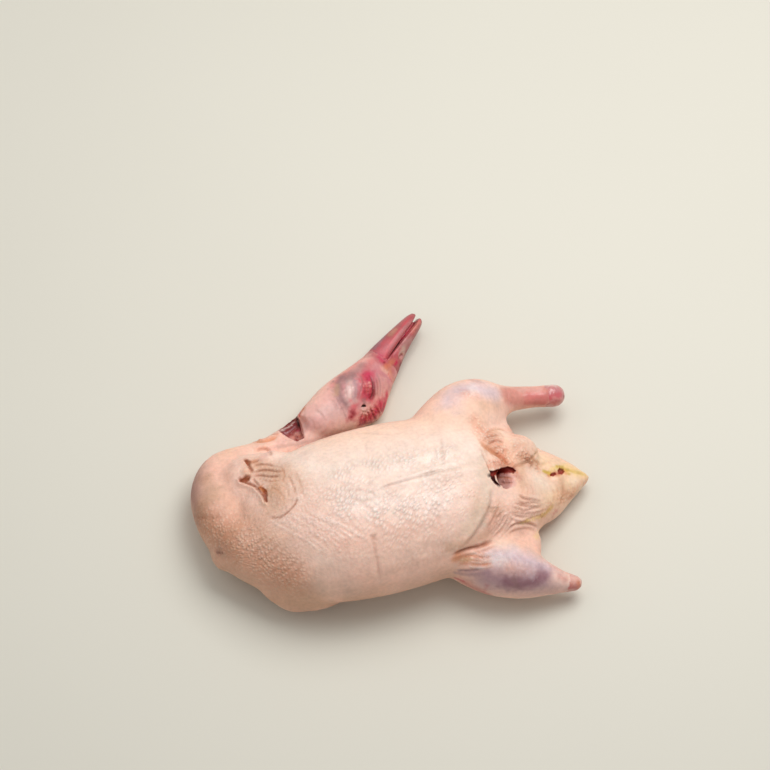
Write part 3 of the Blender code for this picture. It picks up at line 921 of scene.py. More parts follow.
BODY = Region(
    stains=(
        Stain(((300, 470), (470, 450)), 105, Tone.BREAST, 0.95, 0.2, 1.2),
        Stain(((330, 438), (470, 410)), 42, Tone.PEACH, 0.45, 0.3, 1.2),
        Stain(((205, 560), (290, 604), (440, 588)), 46, Tone.BROWN_BEIGE, 0.75, 0.3, 1.3),
        Stain(((200, 530), (250, 560), (300, 590)), 50, Tone.BEIGE, 0.75, 0.3, 1.1),
        Stain(((224, 470), (226, 500), (232, 524)), 40, Tone.SALMON_SKIN, 0.75, 0.25, 1.2),
        Stain(((192, 474), (192, 492), (197, 510)), 27, Tone.FRONT_MAUVE, 0.95, 0.35, 1.1),
        Stain(((200, 514), (214, 528), (230, 540)), 26, Tone.BROWN_BEIGE, 0.75, 0.35, 1.1),
        Stain(((216, 492), (226, 512)), 22, Tone.BLUSH, 0.35, 0.4, 1.1),
        Stain(((236, 460), (240, 482)), 13, Tone.BLUSH, 0.6, 0.4, 1.1),
        Stain(((256, 540), (295, 548), (330, 562)), 27, Tone.PALE_FLANK, 0.65, 0.4, 1.2),
        Stain(((207, 478), (214, 496)), 12, Tone.BROWN_BEIGE, 0.5, 0.6),
        Stain(((233, 500), (240, 520), (270, 540)), 34, Tone.BEIGE, 0.35, 0.4, 1.1),
        Stain(((320, 560), (400, 555), (445, 540)), 30, Tone.PALE_FLANK, 0.55, 0.4, 1.2),
        Stain(((322, 588), (350, 590)), 22, Tone.PALE_FLANK, 0.4, 0.4, 1.2),
        # painted highlight: wet sparkle over the middle of the breast
        Stain(((346, 505), (440, 500)), 32, Tone.PAINTED_GLINT, 0.35, 0.5, 1.2),
        # painted shadow: a faint grey-mauve shadow low on the breast
        Stain(((436, 505), (434, 512)), 9, Tone.MAUVE, 0.16, 0.6),
        Stain(((245, 440), (225, 455)), 16, Tone.PEACH, 0.5, 0.4),
    ),
    # the mauve, grey and brown laid in these grooves, the keel's among them, are painted shade, and the near
    # white on the raised ripples is a painted highlight
    creases=(
        Crease(((374, 491.4), (386, 486), (397, 482.3), (416, 476.6), (435, 471.8), (446, 469)),
               1.4, 1.3, 0.5, 3.0, Tone.MAUVE, 1.3, 0.6),
        Crease(((410, 477), (435, 471.6), (450, 468), (466, 464.6), (482, 461.5)),
               3.6, 1.0, 0.5, 4.0, Tone.GREY_FLESH, 3.4, 0.4),
        Crease(((344, 491), (353, 490), (362.5, 490), (369, 491.5), (376, 494)),
               1.3, 0.7, 0.3, 1.5, Tone.CREASE_BROWN, 1.2, 0.25),
        Crease(((368.3, 481), (369, 487)), 1.5, 0.6, 0.0, 1.5, Tone.MAUVE, 1.4, 0.35),
        Crease(((441, 434), (442.5, 450), (443.2, 468)), 1.5, 0.5, 0.0, 2.0, Tone.MAUVE, 1.3, 0.3),
        Crease(((365.9, 441), (366, 454)), 1.3, 0.35, 0.0, 2.0, Tone.MAUVE, 1.2, 0.22),
        Crease(((353, 432.5), (372, 433.5), (391, 434.4), (411, 430.6)),
               1.5, 0.5, 0.0, 2.0, Tone.MAUVE, 1.3, 0.2),
        Crease(((372, 533), (374, 545), (377, 560), (380, 582)),
               1.6, 0.9, 0.0, 2.0, Tone.CREASE_BROWN, 1.3, 0.25),
        Crease(((370, 534), (378, 541)), 1.3, 0.7, 0.0, 2.0, Tone.CREASE_BROWN, 1.2, 0.35),
        Crease(((377, 533), (371, 541)), 1.3, 0.7, 0.0, 2.0, Tone.CREASE_BROWN, 1.2, 0.3),
        *ripples(
            ((264, 517), (286, 528), (308, 541), (322, 553)),
            ((312, 508), (330, 519), (350, 530), (364, 540)),
            8,
            Crease((), 1.4, -0.55, 0.0, 2.0, Tone.PAINTED_GLINT, 1.2, 0.3),
        ),
        *ripples(
            ((240, 552), (255, 545), (268, 533)),
            ((282, 584), (296, 572), (306, 560)),
            7,
            Crease((), 1.5, 0.5, 0.3, 2.2, Tone.BROWN_BEIGE, 1.6, 0.4),
            2.2,
        ),
        Crease(((191, 517), (206, 518), (224, 517)), 1.6, 0.7, 0.0, 2.0, Tone.CREASE_BROWN, 1.4, 0.28),
        Crease(((203.6, 543), (206, 547), (209.6, 550.4)), 1.2, 0.4, 0.0, 2.0, Tone.RAW_RED, 1.1, 0.8),
        Crease(((216.6, 552), (219, 552.6), (222.4, 552.8)),
               1.0, 0.3, 0.0, 2.0, Tone.MAROON, 0.9, 0.9, False),
    ),
    wet=(
        Zone(((330, 480), (400, 470), (450, 460)), 26, 0.85),
        Zone(((350, 510), (400, 520), (440, 500)), 34, 0.9),
        Zone(((310, 520), (345, 560)), 40, 0.45),
        Zone(((215, 545), (270, 560)), 34, 0.35),
    ),
    pores=(
        Zone(((260, 505), (330, 530), (430, 540)), 60, 0.4),
        Zone(((345, 474), (390, 462), (452, 452)), 18, 1.0),
        Zone(((340, 500), (390, 510), (452, 490)), 36, 1.0),
        Zone(((205, 540), (240, 560), (290, 580)), 40, 0.35),
    ),
    crinkle=(
        Zone(((260, 480), (300, 500)), 40, 0.25),
        Zone(((208, 528), (240, 545), (285, 575)), 40, 0.6),
        Zone(((300, 520), (340, 540)), 26, 0.25),
    ),
)

NECK_ROOT = Region(
    hollows=(
        Hollow(((277.3, 430.6), (287, 422), (297.6, 414.6), (299.5, 420.5), (303.6, 438.5), (297, 441.5),
                (288.5, 438)), 7.0, 1.8, Tone.RAW_RED, 0.95),
        # painted shade: brown laid in the three fold hollows below
        Hollow(((258.5, 487), (263, 486.4), (267.6, 490), (268.6, 496), (266, 500.6), (263, 496),
                (260.6, 491)), 3.0, 2.4, Tone.CREASE_BROWN, 0.6),
        Hollow(((243.6, 460), (248, 458.4), (252.6, 461), (251, 465), (247.6, 466.4)),
               3.0, 2.2, Tone.CREASE_BROWN, 0.6),
        Hollow(((240.4, 480.4), (245, 477), (250.6, 476.6), (250, 481), (245.6, 482.8)),
               3.0, 2.0, Tone.CREASE_BROWN, 0.7),
    ),
    swellings=(
        Swelling((245.6, 471.4), 6.5, 2.2, 1.2, 60),
        Swelling((258, 455), 5.5, 1.8, 1.6, 20),
        Swelling((252, 500), 20, 1.8, 1.4, -60),
        Swelling((281, 493), 17, 1.4, 1.2, -50),
        Swelling((238, 452), 15, 1.0),
        Swelling((264, 446), 9, 1.6, 1.5, 10),
    ),
    # the orange and brown laid along the folds here are painted shade beneath and inside each fold; the reds
    # along the wound are its raw flesh
    creases=(
        Crease(((250.3, 440.8), (262, 441.5), (272.8, 438.6), (277, 434)),
               1.9, 2.0, 1.9, 2.6, Tone.FOLD_ORANGE, 2.2, 0.75),
        Crease(((255, 451.5), (261, 449), (266.6, 449.3), (270, 452), (272, 456.5)),
               1.5, 2.1, 1.7, 2.2, Tone.CREASE_BROWN, 1.3, 0.6),
        Crease(((244, 458.5), (247.5, 464), (251, 469), (252.4, 473.5)),
               1.5, 2.4, 1.2, 2.2, Tone.CREASE_BROWN, 1.4, 0.8),
        Crease(((250.5, 463), (255, 461.5), (259.5, 459.5)), 1.3, 1.2, 0.5, 2.0, Tone.CREASE_BROWN, 1.3, 0.5),
        Crease(((250.5, 476.5), (246.5, 477.2), (243, 480), (240.6, 482)),
               1.3, 1.5, 0.5, 2.0, Tone.CREASE_BROWN, 1.6, 0.8),
        Crease(((265.8, 501), (264, 496.5), (260.5, 491.9), (254.4, 486.3), (246.2, 482.8), (241, 480.8)),
               1.6, 3.4, 2.1, 3.0, Tone.CREASE_BROWN, 1.5, 0.9, False),
        Crease(((252.6, 478.4), (256.4, 483), (260, 486.4)), 1.2, 1.2, 0.5, 1.8, Tone.CREASE_BROWN, 1.2, 0.6),
        Crease(((252.5, 467), (258, 465), (266.6, 464.6), (276, 466.5)),
               1.2, 1.0, 0.6, 1.6, Tone.CREASE_BROWN, 1.0, 0.5),
        Crease(((253, 473), (260, 470.6), (268, 470.2), (278, 471.4), (284, 470.5)),
               1.2, 1.1, 0.6, 1.6, Tone.CREASE_BROWN, 1.1, 0.65),
        Crease(((252, 476.8), (260, 475.4), (270, 476.6), (282, 476)),
               1.2, 1.1, 0.6, 1.6, Tone.CREASE_BROWN, 1.1, 0.6),
        Crease(((262, 479.6), (270, 481.4), (280, 480.4)), 1.1, 0.6, 0.3, 1.6, Tone.WRINKLE_BROWN, 1.0, 0.5),
        *ripples(
            ((270, 487), (276, 493), (279, 501)),
            ((293, 470), (300, 479), (303, 490)),
            5,
            Crease((), 1.2, 0.5, 0.3, 1.8, Tone.WRINKLE_BROWN, 1.1, 0.25),
            2.2,
        ),
        Crease(((279, 466), (283.5, 471), (284, 477), (282, 481)),
               1.1, 0.7, 0.3, 1.6, Tone.WRINKLE_BROWN, 1.0, 0.6),
        Crease(((287, 474), (291, 480), (294, 488), (296, 498)),
               1.1, 0.6, 0.4, 1.6, Tone.WRINKLE_BROWN, 1.0, 0.35),
        Crease(((280, 484), (286, 489), (289, 497)), 1.1, 0.5, 0.0, 1.6, Tone.WRINKLE_BROWN, 1.0, 0.3),
        Crease(((274, 487), (281, 494), (285, 502)), 1.1, 0.5, 0.0, 1.6, Tone.WRINKLE_BROWN, 1.0, 0.3),
        Crease(((272.8, 517.6), (279, 517.6), (285.5, 513.9), (289.5, 510), (294.5, 505), (296.4, 500)),
               1.1, 1.5, 0.7, 2.0, Tone.CREASE_BROWN, 1.0, 0.75, False),
        Crease(((298, 486), (302, 492), (306, 498)), 1.1, 0.5, 0.0, 1.5, Tone.WRINKLE_BROWN, 1.0, 0.3),
        Crease(((299, 494), (305, 489)), 1.1, 0.5, 0.0, 1.5, Tone.WRINKLE_BROWN, 1.0, 0.3),
        Crease(((256, 512), (263, 515), (270, 513)), 1.2, 0.5, 0.0, 1.5, Tone.WRINKLE_BROWN, 1.0, 0.3),
        Crease(((281, 432.2), (288, 429), (295.5, 424)), 1.7, -2.4, 0.0, 2.0),
        Crease(((288.5, 436.5), (293, 431.5), (298, 427)), 1.2, -1.2, 0.0, 2.0, Tone.RAW_RED, 1.2, 0.7),
        Crease(((277.5, 430.8), (287, 424.5), (296, 417.5)), 1.2, 0.6, 0.0, 2.0, Tone.DEEP_RED, 1.3, 0.8),
        Crease(((299, 420), (301.5, 428), (303.6, 438)), 1.0, 0.8, 0.0, 2.0, Tone.MAROON, 1.0, 0.75, False),
        Crease(((299.5, 415), (301, 410.5), (305, 408)), 1.2, 0.5, -0.5, 2.0, Tone.RAW_RED, 1.3, 0.7),
    ),
    stains=(
        Stain(((222, 462), (236, 455), (262, 444)), 17, Tone.PINK, 0.6, 0.3),
        Stain(((247, 474), (245, 470)), 7, Tone.BEIGE, 0.5, 0.3),
        Stain(((275, 488), (283, 500), (272, 508)), 17, Tone.BEIGE, 0.55, 0.3),
        Stain(((285, 470), (300, 482)), 16, Tone.BEIGE, 0.4, 0.4),
        Stain(((256, 466), (275, 474), (272, 492)), 20, Tone.BEIGE, 0.7, 0.3, 1.1),
        Stain(((240, 470), (236, 488), (250, 500)), 9, Tone.BLUSH, 0.6, 0.3, 1.1),
        # painted shade: maroon and orange in the deepest points of the fold hollows
        Stain(((241, 480), (249, 477.4)), 3.6, Tone.MAROON, 0.45, 0.5),
        Stain(((261, 487), (266, 492)), 4.2, Tone.FOLD_ORANGE, 0.75, 0.4),
        Stain(((247, 462), (257, 462)), 3.6, Tone.FOLD_ORANGE, 0.55, 0.5),
        Stain(((304, 407.5), (299.6, 414.6)), 5.0, Tone.TORN_ORANGE, 0.9, 0.4),
        Stain(((300.6, 411.6), (299.4, 415.6)), 2.6, Tone.CRIMSON, 0.75, 0.4),
        Stain(((270, 435), (277, 434)), 3.4, Tone.TORN_ORANGE, 0.5, 0.4),
        Stain(((283, 442), (272, 450), (262, 458)), 8, Tone.SINEW, 0.45, 0.4),
        # painted shade: a mauve line where the neck meets the torso
        Stain(((278, 447), (300, 443), (330, 437)), 3.4, Tone.MAUVE, 0.5, 0.4),
    ),
    inner=(
        # painted shade: brown, maroon and amber deep in the fold hollows
        Stain(((241, 481), (248, 479)), 4.4, Tone.CREASE_BROWN, 0.85, 0.5),
        Stain(((241, 481.4), (245, 480.6)), 2.2, Tone.MAROON, 0.7, 0.5),
        Stain(((245, 461.6), (250, 464)), 4.0, Tone.CREASE_BROWN, 0.6, 0.5),
        Stain(((246, 462), (252, 470)), 1.8, Tone.MAROON, 0.5, 0.5),
        Stain(((260, 488), (266, 493)), 4.6, Tone.AMBER, 0.85, 0.4),
        Stain(((264.6, 492), (266.4, 500)), 2.6, Tone.MAROON, 0.7, 0.5),
        Stain(((284, 430), (294, 424)), 6.5, Tone.DEEP_CRIMSON, 0.6, 0.6),
        Stain(((280, 431.2), (287, 427.2), (293, 423.4)), 2.4, Tone.HEAD_PALE, 0.85, 0.5),
        Stain(((283, 434.6), (290, 431), (294.6, 427)), 1.7, Tone.PURPLE_GREY, 0.85, 0.5),
        Stain(((288, 437), (294, 431.4)), 1.8, Tone.MOUTH, 0.8, 0.5),
        # painted shade: the wound's deepest corner is laid near black
        Stain(((296.4, 417), (298, 421), (299, 425)), 3.4, Tone.ALMOST_BLACK, 0.95, 0.3),
        Stain(((292.6, 438), (298, 434.4), (302.4, 439)), 5.0, Tone.FAT_PINK, 0.95, 0.5),
        Stain(((297, 431), (301, 430)), 2.0, Tone.CRIMSON, 0.7, 0.6),
        Stain(((293, 435), (297.6, 437)), 1.2, Tone.RAW_RED, 0.8, 0.7),
    ),
    wet=(
        Zone(((285, 432), (298, 424)), 14, 0.95),
        Zone(((250, 466), (262, 492)), 12, 0.5),
        Zone(((222, 470), (240, 455)), 18, 0.4),
    ),
    crinkle=(Zone(((262, 470), (285, 480)), 18, 0.3), Zone(((295, 437), (300, 436)), 6, 1.0)),
    pores=(Zone(((240, 500), (262, 515)), 14, 0.3), Zone(((215, 480), (240, 465)), 20, 0.1)),
)


HEAD = Region(
    hollows=(
        # painted shade: the ear's opening is laid near black
        Hollow(((361, 407.2), (362.2, 404.6), (364.2, 403.9), (366.2, 405.2), (366.6, 407.4)),
               3.2, 1.0, Tone.ALMOST_BLACK, 0.95),
    ),
    swellings=(
        Swelling((350.5, 390), 11, 0.9, 1.5, -75),
        Swelling((369, 387.5), 9.5, 1.7, 1.5, -67),
        Swelling((385, 382), 10, 0.5),
        Swelling((340, 390), 7, -1.2, 1.5, -80),
        Swelling((360.5, 386), 4, -0.7, 2.2, -80),
        Swelling((378.5, 388), 3.5, -0.6, 2.5, -82),
    ),
    creases=(
        Crease(((369.5, 374.5), (372.3, 381), (373.3, 388), (372.2, 395), (369.5, 400)),
               0.9, 1.3, 0.5, 1.4, Tone.DEEP_RED, 1.0, 0.85),
        Crease(((363.5, 380), (364.8, 388), (364.3, 396)), 0.9, 0.5, 0.3, 1.2, Tone.BRUISE, 1.0, 0.6),
        Crease(((366.5, 377), (368.4, 386), (367.8, 396)), 0.9, 0.5, 0.3, 1.2, Tone.BRUISE, 0.9, 0.45),
        Crease(((376, 377), (377.6, 386), (377.6, 397)), 0.9, 0.5, 0.3, 1.2, Tone.RAW_RED, 1.0, 0.45),
        Crease(((361.5, 376), (366, 372), (371, 371)), 1.0, 0.5, 0.3, 1.3, Tone.BRUISE, 1.0, 0.4),
        Crease(((360, 409.3), (364, 410.2), (367.5, 408.8)), 1.0, -0.6, 0.0, 1.2, Tone.SINEW, 1.0, 0.4),
        Crease(((369.5, 406), (372.5, 413), (376.6, 421.2)), 0.9, 0.5, 0.5, 1.3, Tone.DEEP_CRIMSON, 1.0, 0.8),
        Crease(((367, 410), (369, 415), (371.2, 421.5)), 0.9, 0.5, 0.4, 1.3, Tone.BRUISE, 1.0, 0.7),
        Crease(((373.2, 403.5), (377.5, 409), (380.6, 417)), 0.9, 0.5, 0.5, 1.3, Tone.BRUISE, 1.0, 0.8),
        Crease(((363.6, 413.6), (361, 418), (359.6, 424)), 0.9, 0.4, 0.3, 1.3, Tone.BRUISE, 1.0, 0.6),
        Crease(((364.6, 412.8), (365.6, 418), (364.8, 424)), 0.9, 0.4, 0.3, 1.3, Tone.BRUISE, 1.0, 0.65),
        Crease(((378.4, 396), (380.4, 404), (380.6, 413)), 0.9, 0.4, 0.3, 1.3, Tone.BRUISE, 1.0, 0.6),
        Crease(((345.6, 384), (346, 392), (348, 400)), 0.9, 0.3, 0.0, 1.3, Tone.MAUVE, 0.9, 0.35),
        Crease(((350.5, 382), (351.5, 391), (353, 399)), 0.9, 0.3, 0.0, 1.3, Tone.MAUVE, 0.9, 0.3),
        Crease(((355, 383), (356, 391), (355.6, 398)), 0.9, 0.3, 0.0, 1.3, Tone.MAUVE, 0.9, 0.35),
        Crease(((330, 399), (336, 404), (339, 411)), 1.3, 0.5, 0.3, 1.8, Tone.MAUVE, 1.1, 0.3),
        Crease(((312, 408), (321, 414), (326, 423)), 1.3, 0.5, 0.3, 1.8, Tone.MAUVE, 1.1, 0.25),
        Crease(((320, 434), (327, 426), (330, 417)), 1.6, -0.6, 0.0, 1.8, Tone.SINEW, 1.4, 0.45),
        Crease(((336, 398), (342, 408), (347, 420)), 1.2, 0.5, 0.3, 1.8, Tone.DARK_MAUVE, 1.0, 0.35),
        Crease(((358, 372), (362, 380), (361, 390), (358, 400)),
               1.0, 0.6, 0.4, 1.4, Tone.DARK_MAUVE, 0.9, 0.5),
        Crease(((376.5, 372), (380.5, 384), (380, 398)), 1.0, 0.6, 0.4, 1.4, Tone.DARK_MAUVE, 0.9, 0.5),
        Crease(((388, 371), (389.6, 377), (393, 384)), 1.0, 0.6, 0.4, 1.4, Tone.ROSE, 0.9, 0.5),
        Crease(((308, 416), (313, 422), (315, 430)), 1.3, 0.5, 0.3, 1.8, Tone.MAUVE, 1.1, 0.25),
    ),
    stains=(
        Stain(((310, 422), (330, 412), (345, 400)), 40, Tone.NECK_PINK, 0.95, 0.15, 1.2),
        Stain(((352, 392), (372, 380), (392, 362)), 34, Tone.HEAD_ROSE, 0.95, 0.15, 1.0),
        Stain(((306, 418), (322, 404), (340, 392)), 9, Tone.SINEW, 0.55, 0.3),
        Stain(((330, 412), (345, 412)), 14, Tone.HEAD_PALE, 0.4, 0.4),
        # painted light: a pale band along the neck's underside, laid against the contact shade there
        Stain(((312, 436), (335, 430), (352, 425)), 9, Tone.BLUSH, 0.5, 0.3),
        Stain(((333, 384), (353, 366), (368, 352)), 7, Tone.ROSE, 0.4, 0.3),
        Stain(((346, 380), (356, 371), (362, 366)), 9, Tone.DARK_MAUVE, 0.6, 0.4),
        Stain(((349, 379), (354, 375)), 7, Tone.DARK_MAUVE, 0.6, 0.5),
        # painted shadow: dark mauve and brown in the recess between the jaw's angle and the throat
        Stain(((341, 378), (338, 388), (340, 396), (346, 404)), 7.5, Tone.DARK_MAUVE, 0.9, 0.5),
        Stain(((337, 386), (336, 394)), 5, Tone.BROWN_BEIGE, 0.6, 0.5),
        Stain(((350.5, 383), (350.5, 397)), 9, Tone.HEAD_PALE, 0.65, 0.3),
        # painted highlight on the pale jaw bulge
        Stain(((348.5, 388), (349.5, 396)), 4, Tone.PAINTED_GLINT, 0.3, 0.5),
        Stain(((354.5, 381), (356, 390), (354, 401)), 3.2, Tone.BLUE_GREY, 0.5, 0.5),
        Stain(((362, 376), (364, 386), (362, 397)), 6.0, Tone.ROSE, 0.7, 0.4),
        Stain(((368, 374), (370, 386), (369, 396)), 10.5, Tone.CRIMSON, 0.85, 0.35),
        Stain(((366, 384), (368, 391)), 4.6, Tone.SALMON, 0.45, 0.6),
        Stain(((373.2, 383), (374.4, 393), (371, 397)), 4.4, Tone.DEEP_CRIMSON, 0.8, 0.4),
        # painted highlight: a pink glint on the swollen lids
        Stain(((369.4, 382.5), (370.2, 386)), 2.4, Tone.PINK, 0.6, 0.3),
        Stain(((381, 378), (381, 394)), 7, Tone.HEAD_PINK, 0.5, 0.4),
        Stain(((354, 406), (352, 417)), 8.5, Tone.ROSE, 0.75, 0.4),
        Stain(((351.4, 417), (352.8, 413.5)), 4.4, Tone.DEEP_CRIMSON, 0.85, 0.45),
        Stain(((350, 404), (356, 401)), 4, Tone.HEAD_PALE, 0.5, 0.5),
        Stain(((365, 420), (372, 416), (381, 405)), 12, Tone.CRIMSON, 0.9, 0.4),
        Stain(((365, 412), (363, 409)), 4.5, Tone.HEAD_PALE, 0.55, 0.4),
        Stain(((367.6, 413), (366.6, 421)), 2.6, Tone.SALMON, 0.6, 0.5),
        Stain(((373.8, 411), (372.2, 418)), 2.2, Tone.SALMON, 0.55, 0.5),
        Stain(((378.8, 408), (379, 414)), 2.0, Tone.SALMON, 0.45, 0.5),
        Stain(((360, 424.6), (367, 423.6), (376, 421)), 3.0, Tone.DEEP_CRIMSON, 0.8, 0.5),
        Stain(((364.5, 402.4), (363.6, 401)), 3.4, Tone.DARK_MAUVE, 0.6, 0.5),
        Stain(((387, 393), (386, 401), (383, 411)), 5.5, Tone.CRIMSON, 0.8, 0.45),
        Stain(((384, 404), (382, 411)), 2.6, Tone.DEEP_CRIMSON, 0.7, 0.5),
        Stain(((386, 377), (388, 387)), 8.0, Tone.HEAD_ROSE, 0.6, 0.3),
        Stain(((385, 379), (387, 388)), 4.5, Tone.PINK, 0.3, 0.4),
        Stain(((384.5, 369), (389, 372)), 6.5, Tone.PEACH, 0.6, 0.35),
        Stain(((372, 352), (378, 358), (386, 364)), 7.5, Tone.BRUISE, 0.65, 0.3),
        Stain(((387, 367), (392, 372)), 6, Tone.SHANK_RED, 0.5, 0.4),
        Stain(((379.5, 357.5), (384, 362)), 4.0, Tone.CRIMSON, 0.65, 0.5),
        Stain(((386, 363), (392, 361)), 4.0, Tone.BRUISE, 0.6, 0.4),
        Stain(((386, 366), (393, 364)), 5.0, Tone.TORN_ORANGE, 0.7, 0.4),
        Stain(((390, 371), (391, 375), (394, 381)), 3.0, Tone.TORN_ORANGE, 0.5, 0.4),
        Stain(((384.2, 362.4), (384.6, 358.6)), 1.9, Tone.DEEP_CRIMSON, 0.95, 0.2),
        Stain(((368, 354), (376, 347), (384, 338)), 6.0, Tone.DARK_MAUVE, 0.5, 0.4),
        Stain(((372, 362), (368, 367)), 7.0, Tone.ROSE, 0.45, 0.4),
    ),
    wet=(
        Zone(((368, 380), (370, 400)), 12, 0.8),
        Zone(((364, 418), (378, 410)), 13, 0.7),
        Zone(((350, 385), (351, 398)), 10, 0.75),
        Zone(((320, 415), (340, 408)), 20, 0.4),
    ),
    crinkle=(Zone(((365, 416), (376, 410)), 12, 0.8), Zone(((368, 378), (369, 398)), 10, 0.4)),
)


